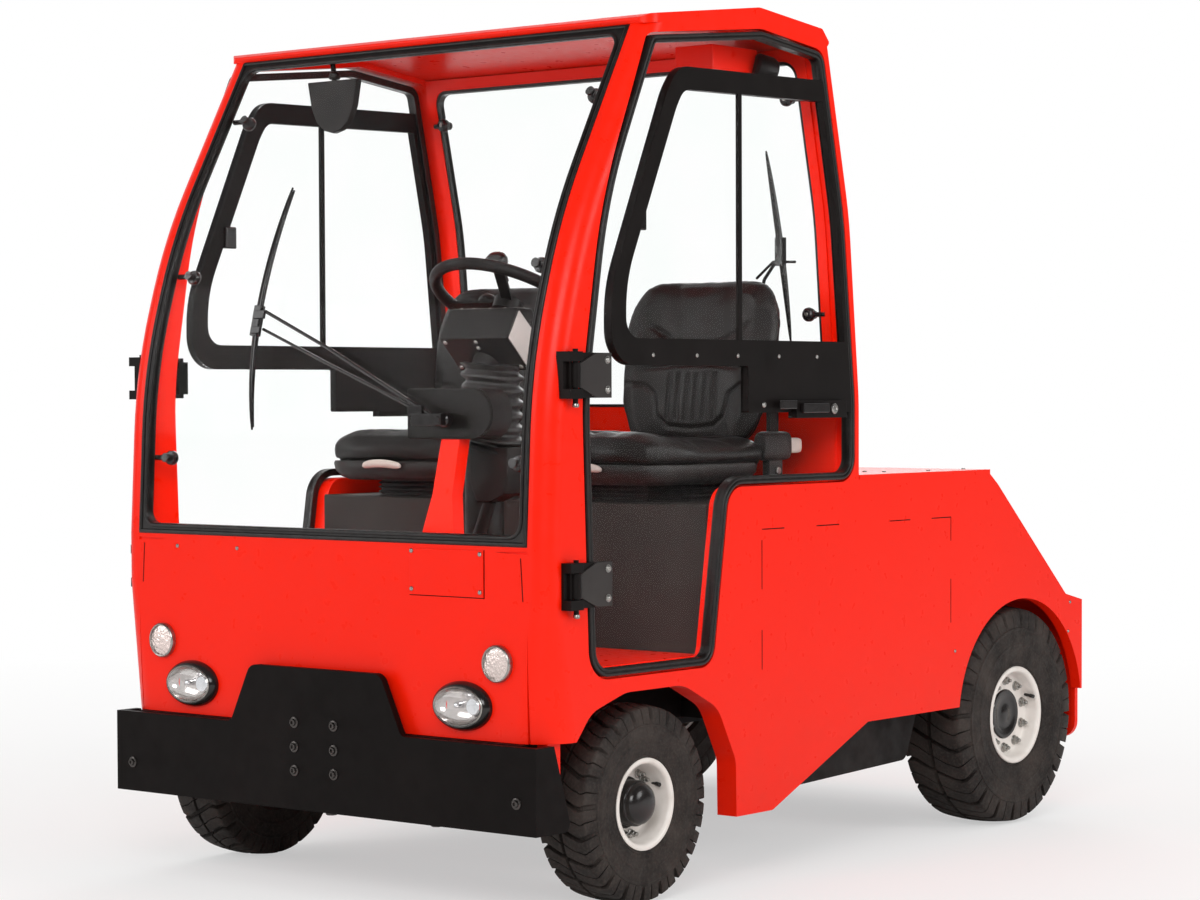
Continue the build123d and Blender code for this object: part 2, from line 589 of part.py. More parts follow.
def front_rim():
    """White rim with a domed hub cap that stands out almost to the tyre's side."""
    hub_in = KINGPIN_X + KINGPIN_EYE_R + 40
    hub_out = TYRE_FACE_X - 20
    wheel = rim(0, FRONT_AXLE_Z, FRONT_TYRE_W, FRONT_RIM_R, TYRE_FACE_X - 62, SPINDLE_R, FRONT_HUB_R,
                hub_in, hub_out)
    return wheel + rod((hub_out - 2, 0, FRONT_AXLE_Z), (hub_out + 14, 0, FRONT_AXLE_Z), FRONT_CAP_R)


def rear_rim():
    hub_in = TYRE_FACE_X - REAR_TYRE_W + 30
    return rim(WHEELBASE, REAR_AXLE_Z, REAR_TYRE_W, REAR_RIM_R, TYRE_FACE_X - 52, REAR_SHAFT_R, REAR_HUB_R,
               hub_in, TYRE_FACE_X - 48)


def front_tyre():
    return tyre(0, FRONT_AXLE_Z, FRONT_TYRE_R, FRONT_TYRE_W, FRONT_RIM_R, FRONT_LUG_H, FRONT_LUG_FOOT_R)


def rear_tyre():
    return tyre(WHEELBASE, REAR_AXLE_Z, REAR_TYRE_R, REAR_TYRE_W, REAR_RIM_R, REAR_LUG_H, REAR_LUG_FOOT_R)


def rear_axle():
    """Tube with the gear housing in its middle, shafts that carry the wheels and a pad under each rail."""
    y, z = WHEELBASE, REAR_AXLE_Z
    tube_end = TYRE_FACE_X - REAR_TYRE_W + 29
    shaft_end = TYRE_FACE_X - 66
    axle = rod((-tube_end, y, z), (tube_end, y, z), REAR_TUBE_R)
    axle += rod((0, y - 110, z), (0, y + 110, z), GEAR_HOUSING_R)
    axle += rod((-shaft_end, y, z), (shaft_end, y, z), REAR_SHAFT_R)
    return axle + both(block(RAIL_X - RAIL_W / 2, RAIL_X + RAIL_W / 2, y - 40, y + 40, z, RAIL_LOW_Z))


def drive_unit():
    """Motor, gearbox and battery, closed in under the seats and the deck."""
    half = RAIL_X - RAIL_W / 2
    return block(-half, half, 520, 1030, 330, 840)


def tow_hitch():
    """Fixed drawbar jaw: back plate, two jaw plates and the bore for a drop pin through both."""
    pin_y = HITCH_END_Y - JAW_EYE_R
    top = JAW_LOW_Z + JAW_PITCH + JAW_T
    jaw = block(-90, 90, HITCH_Y, HITCH_Y + 14, JAW_LOW_Z - 32, top + 32)
    for low in (JAW_LOW_Z, JAW_LOW_Z + JAW_PITCH):
        jaw += block(-60, 60, HITCH_Y + 14, pin_y, low, low + JAW_T)
        jaw += rod((0, pin_y, low), (0, pin_y, low + JAW_T), JAW_EYE_R)
    return jaw - rod((0, pin_y, JAW_LOW_Z - 20), (0, pin_y, top + 20), JAW_BORE_R)


# ---- doors ----
def door_slab(inset, x0, x1):
    """The door's whole outline, smaller than its opening by inset, between two planes."""
    return across(offset(door_opening(), amount=-inset), x0, x1)


def door_seal():
    """Rubber profile all round the door, with the running gap outside it."""
    ring = door_slab(DOOR_GAP, DOOR_IN, BODY_HALF)
    return ring - door_slab(DOOR_GAP + DOOR_SEAL_W, DOOR_IN - 1, BODY_HALF + 1)


def door_frame():
    """Black frame of the door's window, with its divider and the latch's case."""
    inside = DOOR_GAP + DOOR_SEAL_W
    face = BODY_HALF + FRAME_PROUD
    frame = across(outline(DOOR_FRAME), face - FRAME_T, face) & door_slab(inside, DOOR_IN - 1, face + 1)
    window = across(outline(DOOR_WINDOW), DOOR_IN - 1, face + 1)
    frame -= window & door_slab(inside + PANE_LAP, DOOR_IN - 2, face + 2)
    frame += block(face - 8, face, 330, 344, 1280, 1880)
    return frame + block(BODY_HALF - 6, face + LATCH_PROUD, *LATCH_Y, *LATCH_Z)


def door_glass():
    """Lower pane round the window frame, and the pane inside the frame."""
    inside = DOOR_GAP + DOOR_SEAL_W
    lower = door_slab(inside, GLASS_FACE_X - GLASS_T, GLASS_FACE_X)
    lower -= across(outline(DOOR_FRAME), GLASS_FACE_X - GLASS_T - 1, GLASS_FACE_X + 1)
    panes = across(outline(DOOR_WINDOW), GLASS_FACE_X - PANE_T, GLASS_FACE_X)
    return group(lower, panes & door_slab(inside + PANE_LAP, GLASS_FACE_X - 10, GLASS_FACE_X + 10))


def hinge_leaves():
    """Door-side plates of the two hinges, each with its spacer on the glass and its eye on the pin."""
    leaves = []
    plate_out = LEAF_X + LEAF_T
    for z in HINGE_ROWS:
        leaf = block(LEAF_X, plate_out, HINGE_Y + 28, HINGE_Y + 129, z - 50, z + 50)
        leaf += block(GLASS_FACE_X, LEAF_X, HINGE_Y + 100, HINGE_Y + 128, z - 40, z + 40)
        leaf += block(LEAF_X, plate_out, HINGE_Y, HINGE_Y + 36, z - 28, z + 28)
        leaf += rod((HINGE_X, HINGE_Y, z - 28), (HINGE_X, HINGE_Y, z + 28), HINGE_EYE_R)
        bore = rod((HINGE_X, HINGE_Y, z - 60), (HINGE_X, HINGE_Y, z + 60), HINGE_PIN_R + SEAT_GAP)
        leaves.append(leaf - bore)
    return leaves


def hinge_blocks():
    """Pillar-side blocks with their pins."""
    blocks = []
    for z in HINGE_ROWS:
        piece = block(BODY_HALF - 12, BODY_HALF + 8, HINGE_Y - 32, HINGE_Y - 18, z - 52, z + 52)
        for low in (z - 52, z + 30):
            piece += block(BODY_HALF - 12, HINGE_X + 12, HINGE_Y - 32, HINGE_Y + 12, low, low + 22)
        blocks.append(piece + rod((HINGE_X, HINGE_Y, z - 62), (HINGE_X, HINGE_Y, z + 58), HINGE_PIN_R))
    return both(group(*blocks) - cab_side())


# ---- inside the cab ----
def seat_bases():
    """Suspension under each seat."""
    left, right = SEAT_BASE_X - SEAT_BASE_W / 2, SEAT_BASE_X + SEAT_BASE_W / 2
    return both(block(left, right, PLINTH_Y + 20, SEAT_BASE_BACK_Y, PLINTH_TOP_Z, SEAT_BASE_TOP_Z))


def seat_cushions():
    low, top = SEAT_BASE_TOP_Z + SEAT_GAP, CUSHION_TOP_Z
    face = outline([(175, low, 30), (175, top + 20, 40), (420, top, 0), (660, top, 8), (660, low, 10)])
    return both(across(face, SEAT_X - SEAT_W / 2, SEAT_X + SEAT_W / 2))


def seat_backs():
    low = CUSHION_TOP_Z + SEAT_GAP
    face = outline([(600, low, 20), (668, low + 388, 35), (745, low + 403, 30), (720, low, 20)])
    return both(across(face, SEAT_X - SEAT_W / 2, SEAT_X + SEAT_W / 2))


def column_point(distance):
    """Point on the steering column's line, counted down from the wheel's centre."""
    lean = math.radians(COLUMN_LEAN)
    return (STEERING_X, WHEEL_Y - distance * math.sin(lean), WHEEL_Z - distance * math.cos(lean))


def steering_wheel():
    """Round grip, three spokes and a spinner knob, turning on the column's spindle."""
    lean = math.radians(COLUMN_LEAN)
    plane = Plane(origin=column_point(0), z_dir=(0, math.sin(lean), math.cos(lean)))
    wheel = plane * Torus(WHEEL_R, WHEEL_GRIP_R)
    wheel += plane * Pos(0, 0, -12) * Cylinder(34, 30)
    for angle in (90, 210, 330):
        wheel += plane * Rot(0, 0, angle) * Pos(WHEEL_R / 2, 0, -4) * Box(WHEEL_R - 4, 26, 7)
    wheel += plane * Rot(0, 0, 60) * Pos(WHEEL_R, 0, 26) * Cylinder(9, 34)
    wheel += plane * Rot(0, 0, 60) * Pos(WHEEL_R, 0, 50) * Sphere(24)
    return wheel - rod(column_point(80), column_point(10), SPINDLE_TOP_R + SEAT_GAP)


def steering_column():
    """Upright lower column on the floor, and the leaning upper part with the wheel's spindle."""
    x, y, z = column_point(COLUMN_KNEE)
    column = rod((x, y, FLOOR_TOP_Z), (x, y, z - 60), COLUMN_R)
    column += rod((x, y, z - 70), (x, y, z + 10), COLUMN_NECK_R)
    column += rod(column_point(COLUMN_KNEE), column_point(60), COLUMN_NECK_R)
    return column + rod(column_point(62), column_point(14), SPINDLE_TOP_R)


def dash_pod():
    """Wedge-shaped instrument box round the top of the column, its underside cut back towards the driver."""
    rows = [(-206, 1295, 8), (-132, 1221, 4), (-104, 1232, 4), (-90, 1310, 6), (-120, 1362, 6),
            (-167, 1364, 8)]
    pod = across(outline(rows), *POD_X)
    x, y, z = column_point(COLUMN_KNEE)
    pod -= rod((x, y, z - 70), (x, y, z + 14), COLUMN_NECK_R + SEAT_GAP)
    return pod - rod(column_point(COLUMN_KNEE + 10), column_point(0), COLUMN_NECK_R + SEAT_GAP)


def wiper_post():
    """Red bent post that stands behind the windscreen's lower edge and carries the wiper motor."""
    low, top, back = WAIST_Z + SEAT_GAP, MOTOR_Z[0] - SEAT_GAP, POST_Y + POST_DEPTH
    face = outline([(266, low, 0), (370, low, 0), (366, 940, 0), (389, top, 0), (335, top, 0),
                    (307, 942, 60)])
    post = along(face, POST_Y, POST_Y + POST_SHEET)
    side = outline([(370, low, 0), (366, 940, 0), (389, top, 0), (383, top, 0), (360, 940, 0), (364, low, 0)])
    post += along(side, POST_Y, back)
    return post + block(266, 370, FRONT_Y + SHEET, POST_Y + POST_SHEET, low - 60, low)


def wiper_motor():
    """Long round-ended cover of the wiper's motor."""
    (x0, x1), (z0, z1) = MOTOR_X, MOTOR_Z
    radius = (z1 - z0) / 2 - 2
    face = outline([(x0, z0, radius * 0.4), (x1, z0, radius), (x1, z1, radius), (x0, z1, radius * 0.4)])
    return along(face, POST_Y, POST_Y + 66)


def front_surface(z):
    """Y of the cab's front face at a height, and its inward normal, from the straight stretch there."""
    rows = front_line(0)
    for low, high in zip(rows, rows[1:]):
        if z <= high[1]:
            run, rise = high[0] - low[0], high[1] - low[1]
            length = math.hypot(run, rise)
            return low[0] + run * (z - low[1]) / rise, Vector(0, rise / length, -run / length)
    raise ValueError("above the windscreen")


WIPER_BLADE = ((-218, 1084), (-237, 1363), (-240, 1663))    # (x, z) of the blade's foot, carrier and tip
WIPER_OFF = 12.0            # blade's middle off the body's front face


def before_screen(x, z, off):
    """Point in front of the cab's front face."""
    return (x, front_surface(z)[0] - off, z)


def wipers():
    """Front pantograph wiper and rear wiper: blade and arms joined, each carried by its own spindle."""
    foot, carrier, tip = (before_screen(x, z, WIPER_OFF) for x, z in WIPER_BLADE)
    hub = before_screen(WIPER_X, WIPER_Z, 10)
    glass = front_surface(WIPER_Z)[0] + GLASS_INSET - 1.2
    front = rod((WIPER_X, hub[1] - 8, WIPER_Z), (WIPER_X, glass, WIPER_Z), 15)
    front += block(WIPER_X - 60, WIPER_X, hub[1] - 7, hub[1] + 5, WIPER_Z - 20, WIPER_Z - 4)
    front += rod(hub, carrier, 6)
    front += rod((WIPER_X - 50, hub[1], WIPER_Z - 12), (carrier[0] + 4, carrier[1], carrier[2] - 36), 4.5)
    front += Pos(carrier[0], carrier[1], carrier[2]) * block(-12, 12, -10, 7, -48, 12)
    front += rod(foot, carrier, 7)
    front += rod(carrier, tip, 7)
    x, y, z = REAR_WIPER_X, CAB_BACK_Y, REAR_WIPER_Z
    rear = rod((x, y + 8, z), (x, y - REAR_GLASS_INSET + GLASS_T - 1.4, z), 14)
    rear += rod((x, y, z), (x + 115, y - 20, z + 349), 6)
    rear += rod((x + 137, y + 2, z + 115), (x + 88, y - 36, z + 598), 8)
    return group(front, rear)


def mirror_shade():
    """Half-round interior mirror on its stalk under the roof's front edge."""
    x, y = MIRROR_X, MIRROR_Y
    face = outline([(x - 88, 1945, 8), (x + 88, 1945, 8), (x + 60, 1848, 40), (x, 1812, 30),
                    (x - 60, 1848, 40)])
    piece = along(face, y - MIRROR_T / 2, y + MIRROR_T / 2)
    return piece + rod((x, y, 1940), (x, y, 2009.2), 7)


CLAMP_ROWS = (1862, 1465, 1015)     # heights of the windscreen's clamps
CLAMP_INSET = 65                    # clamps inside the cab's side frames
CLAMP_R = 15
REAR_CLAMP_ROWS = (1890, 1362)      # heights of the rear window's clamps


def glass_clamps():
    clamps = []
    for z in CLAMP_ROWS:
        y, inward = front_surface(z)
        glass_back = (GLASS_INSET + GLASS_T) * inward.Y + 1.2
        start = Vector(CAB_INNER - CLAMP_INSET, y, z) + inward * glass_back
        clamps.append(rod(start, start + inward * 34, CLAMP_R))
    behind = across(band(rear_line(REAR_GLASS_INSET + SEAT_GAP), 100), -CAB_INNER, CAB_INNER)
    x = REAR_WINDOW_HALF - 2 * CLAMP_R
    for z in REAR_CLAMP_ROWS:
        lean = min(1.0, (ROOF_BACK_Z - z) / 500)
        face_y = ROOF_BACK_Y + (CAB_BACK_Y - ROOF_BACK_Y) * lean - REAR_GLASS_INSET
        clamps.append(rod((x, face_y - 45, z), (x, face_y + 15, z), CLAMP_R) - behind)
    return both(group(*clamps))


def roof_fan():
    """Bracket under the roof with a round fan and a round lamp at its rear end."""
    (x0, x1), (y0, y1) = FAN_X, FAN_Y
    z = FAN_LOW_Z + 18
    body = block(x0, x1, y0, y1, FAN_LOW_Z, 2023.5)
    body += rod((x0 + 40, y1 - 2, z), (x0 + 40, y1 + 40, z), 52)
    return body + rod((x1 - 5, y1 - 45, z), (x1 - 5, y1 - 5, z), 38)


def front_lamp(lamp, clearance):
    """Bezel proud of the panel and the housing that goes through its hole."""
    x, z = lamp_x(lamp), lamp["z"]
    piece = rod((x, FRONT_Y - lamp["proud"], z), (x, FRONT_Y, z), lamp["bezel"])
    piece += rod((x, FRONT_Y - 1, z), (x, FRONT_Y + lamp["depth"], z), lamp["hole"] - clearance)
    return both(piece)


def headlamps():
    return front_lamp(HEADLAMP, SEAT_GAP)


def indicators():
    return front_lamp(INDICATOR, SEAT_GAP)


def tail_lamps():
    return both(block(*TAIL_LAMP_X, HITCH_Y, HITCH_Y + TAIL_LAMP_T, *TAIL_LAMP_Z))


PEDALS = ((250, 90), (370, 60))     # (x, width)


def pedals():
    pieces = []
    (y0, y1), (z0, z1) = PEDAL_Y, PEDAL_Z
    for x, width in PEDALS:
        face = outline([(y0, z0, 3), (y1, z1, 3), (y1 + 10, z1 + 6, 3), (y0 + 10, z0 + 6, 3)])
        pad = across(face, x - width / 2, x + width / 2)
        pieces.append(pad + block(x - 8, x + 8, y1 - 14, y1, FLOOR_TOP_Z, z1 + 32))
    return group(*pieces)


SINGLE_NODES = {
    "chassis_frame": chassis_frame, "chassis_skirts": lambda: both(chassis_skirts()),
    "front_bumper": front_bumper, "front_axle": front_axle, "tie_rod": tie_rod, "rear_axle": rear_axle,
    "drive_unit": drive_unit, "tow_hitch": tow_hitch, "hinge_blocks": hinge_blocks,
    "deck_cover": deck_cover, "tail_cover": tail_cover, "rear_plate": rear_plate, "front_panel": front_panel,
    "roof": roof, "windscreen_seal": windscreen_seal, "windscreen": windscreen, "rear_wall": rear_wall,
    "rear_window_seal": rear_window_seal, "rear_window": rear_window, "cab_floor": cab_floor,
    "seat_plinth": seat_plinth, "seat_bases": seat_bases, "seat_cushions": seat_cushions,
    "seat_backs": seat_backs, "steering_wheel": steering_wheel, "steering_column": steering_column,
    "dash_pod": dash_pod, "wiper_post": wiper_post, "wiper_motor": wiper_motor, "wipers": wipers,
    "mirror_shade": mirror_shade, "glass_clamps": glass_clamps, "roof_fan": roof_fan,
    "headlamps": headlamps, "indicators": indicators, "tail_lamps": tail_lamps, "pedals": pedals,
}
HANDED_NODES = {
    "steering_knuckle": steering_knuckle, "front_rim": front_rim, "front_tyre": front_tyre,
    "rear_rim": rear_rim, "rear_tyre": rear_tyre, "cab_side": cab_side, "body_side": body_side,
    "door_seal": door_seal, "door_glass": door_glass,
    "door_frame": lambda: group(door_frame(), *hinge_leaves()),
}

for name, make in SINGLE_NODES.items():
    save(name, make())
for name, make in HANDED_NODES.items():
    for word, side in SIDES:
        save(f"{name}_{word}", on_side(make(), side))
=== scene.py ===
"""The looks of the airport baggage tug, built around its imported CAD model."""

import json
import math

import bmesh
import bpy
from mathutils import Matrix, Vector, noise

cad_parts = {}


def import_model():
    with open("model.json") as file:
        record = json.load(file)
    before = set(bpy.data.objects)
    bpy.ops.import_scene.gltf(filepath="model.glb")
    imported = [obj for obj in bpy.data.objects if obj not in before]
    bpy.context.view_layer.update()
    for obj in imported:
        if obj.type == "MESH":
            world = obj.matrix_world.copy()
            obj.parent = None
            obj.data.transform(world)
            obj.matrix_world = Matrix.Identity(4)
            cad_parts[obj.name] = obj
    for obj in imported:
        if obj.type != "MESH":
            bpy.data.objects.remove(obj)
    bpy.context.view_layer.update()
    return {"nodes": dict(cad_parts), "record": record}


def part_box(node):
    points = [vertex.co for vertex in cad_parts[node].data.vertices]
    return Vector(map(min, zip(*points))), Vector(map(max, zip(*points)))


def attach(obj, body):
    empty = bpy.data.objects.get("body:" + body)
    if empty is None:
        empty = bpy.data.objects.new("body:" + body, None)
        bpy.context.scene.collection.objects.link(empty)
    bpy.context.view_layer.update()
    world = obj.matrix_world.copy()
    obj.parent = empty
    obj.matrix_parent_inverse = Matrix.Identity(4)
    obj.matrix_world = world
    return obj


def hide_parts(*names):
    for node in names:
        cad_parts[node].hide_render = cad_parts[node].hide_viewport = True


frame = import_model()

NODES = frame["nodes"]
SCENE = bpy.context.scene
MM = 1000.0
TURN = 2 * math.pi
SIDES = (("left", 1), ("right", -1))
AHEAD, ASTERN, UP, DOWN = (0, -1, 0), (0, 1, 0), (0, 0, 1), (0, 0, -1)


def box_mm(node):
    """Lowest and highest corners of a CAD node, in millimetres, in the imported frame."""
    low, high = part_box(node)
    return low * MM, high * MM


def middle(node):
    low, high = box_mm(node)
    return (low + high) / 2


# Every size below is in millimetres from the middle of the front axle at floor level.
AXLE_Y = middle("front_tyre_left").y
TO_FRAME = Matrix.Scale(1 / MM, 4) @ Matrix.Translation((0, AXLE_Y, 0))
FROM_FRAME = TO_FRAME.inverted()
BODY_HALF, BODY_FRONT, BUMPER_FRONT, REAR_FACE, DECK_TOP = 682, -366, -399, 1952, 962
COVER_FRONT = -369
SEAT_X = 325.0
CUSHION_FRONT, CUSHION_BACK = 178.0, 650.0
BACK_LOW, BACK_HIGH = 1030.0, 1456.0
HINGE_ROWS = (1208, 744)


# --- shading ---------------------------------------------------------------------------


def srgb(red, green, blue):
    """Linear colour of a 0-255 screen colour."""
    parts = []
    for value in (red, green, blue):
        part = value / 255
        parts.append(part / 12.92 if part <= 0.04045 else ((part + 0.055) / 1.055) ** 2.4)
    return (*parts, 1.0)


class Tree:
    """The shader nodes of a material or of the world."""

    def __init__(self, owner):
        owner.use_nodes = True
        self.nodes, self.links = owner.node_tree.nodes, owner.node_tree.links

    def node(self, kind, inputs=(), **settings):
        """A new node, with a constant or another node's output on each of the inputs given."""
        made = self.nodes.new(kind)
        for key, value in settings.items():
            setattr(made, key, value)
        for key, value in dict(inputs).items():
            if isinstance(value, bpy.types.NodeSocket):
                self.links.new(value, made.inputs[key])
            else:
                made.inputs[key].default_value = value
        return made

    def remap(self, value, low, high, to_low, to_high):
        """A value stretched from one range to another."""
        inputs = {"Value": value, "From Min": low, "From Max": high, "To Min": to_low, "To Max": to_high}
        return self.node("ShaderNodeMapRange", inputs).outputs["Result"]

    def combine(self, operation, first, second):
        return self.node("ShaderNodeMath", {0: first, 1: second}, operation=operation).outputs[0]

    def mix(self, share, one, two):
        return self.node("ShaderNodeMixShader", {0: share, 1: one, 2: two}).outputs[0]

    def seen(self, path):
        """1 for what the camera sees, straight or through glass."""
        return self.combine("MAXIMUM", path["Is Camera Ray"], path["Is Transmission Ray"])


class Look(Tree):
    """One material: a Principled shader whose colour, roughness and bump come from nodes."""

    def __init__(self, name, colour, rough, **constants):
        self.material = bpy.data.materials.new(name)
        super().__init__(self.material)
        self.shader = self.nodes["Principled BSDF"]
        self.surface = self.nodes["Material Output"].inputs["Surface"]
        for socket, value in {"Base_Color": colour, "Roughness": rough, **constants}.items():
            self.shader.inputs[socket.replace("_", " ")].default_value = value
        self.where = self.node("ShaderNodeTexCoord").outputs["Object"]
        self.normal = None

    def noise(self, scale, detail):
        """Noise of so many waves per metre, from about 0 to 1."""
        inputs = {"Scale": scale, "Detail": detail, "Vector": self.where}
        return self.node("ShaderNodeTexNoise", inputs).outputs["Fac"]

    def cells(self, scale, feature="F1"):
        """Distance to the nearest of scattered cell centres, or to the border between cells."""
        inputs = {"Scale": scale, "Vector": self.where}
        return self.node("ShaderNodeTexVoronoi", inputs, feature=feature).outputs["Distance"]

    def tint(self, amount, colour):
        """Mixes another colour in by amount, over what the colour is so far."""
        socket = self.shader.inputs["Base Color"]
        so_far = socket.links[0].from_socket if socket.is_linked else socket.default_value
        made = self.node("ShaderNodeMix", {"A": so_far, "B": colour, "Factor": amount}, data_type="RGBA")
        self.links.new(made.outputs["Result"], socket)

    def stain(self, scale, detail, low, high, amount, colour):
        """Patches of another colour, where noise rises from low to high."""
        self.tint(self.remap(self.noise(scale, detail), low, high, 0.0, amount), colour)

    def uneven(self, scale, detail, low, high):
        """Roughness that wanders between two values."""
        value = self.remap(self.noise(scale, detail), 0.3, 0.7, low, high)
        self.links.new(value, self.shader.inputs["Roughness"])

    def bend(self, normal):
        self.normal = normal
        self.links.new(normal, self.shader.inputs["Normal"])

    def bump(self, height, depth_mm, strength=1.0):
        """Adds relief of that depth."""
        inputs = {"Strength": strength, "Distance": depth_mm / MM, "Height": height}
        if self.normal is not None:
            inputs["Normal"] = self.normal
        self.bend(self.node("ShaderNodeBump", inputs).outputs["Normal"])

    def worn(self, edge_mm, stain, gloss, grain):
        """Edges that catch light as if rounded, stains, uneven gloss and a fine grain."""
        if edge_mm:
            self.bend(self.node("ShaderNodeBevel", {"Radius": edge_mm / MM}, samples=4).outputs["Normal"])
        self.stain(*stain)
        self.uneven(*gloss)
        scale, detail, depth_mm = grain
        self.bump(self.noise(scale, detail), depth_mm)
        return self


def paint():
    """Glossy red body paint with darker patches, a slight orange peel and road dust low down."""
    look = Look("paint_red", srgb(243, 28, 1), 0.3, Specular_IOR_Level=0.18)
    look.stain(1.3, 3, 0.35, 0.7, 0.16, srgb(214, 24, 6))
    height = look.node("ShaderNodeSeparateXYZ", {0: look.where}).outputs["Z"]
    low = look.remap(height, 0.15, 0.55, 0.16, 0.0)
    look.tint(look.combine("MULTIPLY", low, look.noise(14, 3)), srgb(120, 70, 54))
    look.uneven(35, 2, 0.27, 0.36)
    look.bump(look.noise(90, 1), 0.012)
    return look


def coated(name, colour, dust, rough, level=0.25, metal=0.0):
    """Powder-coated steel: fine pebbled relief, uneven gloss and some dust."""
    look = Look(name, colour, rough[0], Specular_IOR_Level=level, Metallic=metal)
    return look.worn(1.5, (7, 5, 0.42, 0.75, 0.5, dust), (24, 5, *rough), (1100, 2, 0.02))


def tyre_rubber():
    """Matt black rubber, dusty in patches, with mould grain."""
    look = Look("tyre_rubber", srgb(31, 26, 24), 0.8, Specular_IOR_Level=0.3)
    look.worn(0, (9, 6, 0.4, 0.72, 0.6, srgb(70, 61, 56)), (50, 4, 0.62, 0.85), (900, 3, 0.12))
    look.stain(160, 3, 0.45, 0.8, 0.3, srgb(88, 79, 72))
    return look


def seal_rubber():
    """Dark rubber of the seals and the gaiter, half glossy."""
    look = Look("seal_rubber", srgb(20, 16, 15), 0.35, Specular_IOR_Level=0.45)
    return look.worn(3.0, (30, 5, 0.5, 0.8, 0.35, srgb(56, 50, 47)), (60, 4, 0.28, 0.5), (700, 2, 0.03))


def vinyl():
    """Seat vinyl: leather grain, soft sheen and uneven gloss."""
    look = Look("seat_vinyl", srgb(17, 13, 12), 0.4, Specular_IOR_Level=0.26, Sheen_Weight=0.01)
    look.stain(6, 4, 0.4, 0.75, 0.5, srgb(30, 25, 24))
    look.uneven(12, 4, 0.34, 0.48)
    look.bump(look.cells(900, "DISTANCE_TO_EDGE"), 0.03, 0.5)
    look.bump(look.noise(26, 3), 0.25, 0.5)
    return look


def moulded(name, colour, rough=(0.4, 0.55), level=0.4):
    """Moulded plastic with a fine spark-eroded texture."""
    look = Look(name, colour, rough[0], Specular_IOR_Level=level)
    return look.worn(1.0, (16, 4, 0.45, 0.75, 0.2, srgb(60, 54, 51)), (45, 4, *rough), (1500, 2, 0.03))


def enamel():
    """White wheel enamel with brake dust and faint stains."""
    look = Look("rim_enamel", srgb(226, 220, 214), 0.35, Specular_IOR_Level=0.5)
    return look.worn(1.5, (18, 6, 0.45, 0.8, 0.35, srgb(170, 156, 142)), (40, 4, 0.3, 0.46), (240, 3, 0.04))


def metal(name, colour, rough):
    """Bare or plated metal, darker in patches, with fine scratches."""
    look = Look(name, colour, rough, Metallic=1.0)
    darker = [0.6 * part for part in colour[:3]] + [1.0]
    gloss = (300, 4, rough * 0.7, rough * 1.5)
    return look.worn(0.6, (60, 4, 0.45, 0.8, 0.4, darker), gloss, (900, 2, 0.015))


def clear(name, tint, ior):
    """Glass that casts no shadow."""
    look = Look(name, (1, 1, 1, 1), 0.0, Transmission_Weight=1.0, IOR=ior, Specular_IOR_Level=0.5)
    look.stain(3, 3, 0.4, 0.7, 0.5, tint)
    through = look.node("ShaderNodeBsdfTransparent").outputs[0]
    shadow = look.node("ShaderNodeLightPath").outputs["Is Shadow Ray"]
    look.links.new(look.mix(shadow, look.shader.outputs[0], through), look.surface)
    return look


DUST = srgb(74, 66, 60)
RED = paint()
CHASSIS = coated("chassis_black", srgb(18, 14, 13), srgb(44, 38, 35), (0.5, 0.75))
BUMPER = coated("bumper_black", srgb(15, 11, 10), srgb(23, 17, 16), (0.42, 0.6), level=0.1)
AXLE = coated("axle_black", srgb(26, 22, 21), DUST, (0.5, 0.75))
RIM = enamel()
TYRE = tyre_rubber()
SEAL = seal_rubber()
GLASS = clear("cab_glass", srgb(250, 254, 252), ior=1.07)
FRAME = coated("frame_black", srgb(17, 13, 12), srgb(26, 20, 19), (0.34, 0.48), level=0.13)
HINGE = coated("hinge_grey", srgb(46, 42, 41), srgb(62, 57, 54), (0.38, 0.55), level=0.3)
PLINTH = coated("plinth_grey", srgb(46, 42, 40), srgb(60, 54, 51), (0.5, 0.7), level=0.2)
PALE_GREY = coated("pale_grey_plate", srgb(176, 170, 166), srgb(150, 142, 136), (0.4, 0.55), level=0.4)
VINYL = vinyl()
SUSPENSION = moulded("suspension_grey", srgb(26, 22, 21), (0.5, 0.7))
PLASTIC = moulded("plastic_black", srgb(17, 13, 12), level=0.2)
GLOSSY = moulded("gloss_plastic", srgb(24, 21, 21), (0.16, 0.26), 0.5)
PALE = moulded("pale_plastic", srgb(196, 184, 176), (0.35, 0.5))
# Dark red of the painted shade in each slit of the body and of the inspection cover's painted shadow.
SLIT_SHADE = moulded("slit_shadow", srgb(34, 8, 5), (0.7, 0.9), 0.1)
DRIVE = coated("drive_grey", srgb(64, 63, 64), DUST, (0.45, 0.7), metal=0.5)
CHROME = metal("chrome", srgb(225, 225, 228), 0.1)
STEEL = metal("zinc_steel", srgb(170, 168, 164), 0.3)
DARK_STEEL = metal("dark_steel", srgb(92, 88, 86), 0.35)
LAMP_RED = Look("tail_lamp_red", srgb(150, 8, 10), 0.15, Specular_IOR_Level=0.5)
LAMP_RED.bump(LAMP_RED.cells(160), 0.6)
LENS = clear("lamp_lens", srgb(228, 232, 232), ior=1.3)
REFLECTOR = metal("reflector", srgb(196, 190, 187), 0.12)
REFLECTOR.bump(REFLECTOR.cells(60, "DISTANCE_TO_EDGE"), 0.35)
SPARKLE = metal("indicator_reflector", srgb(226, 208, 202), 0.3)
SPARKLE.bump(SPARKLE.cells(170), 1.4)

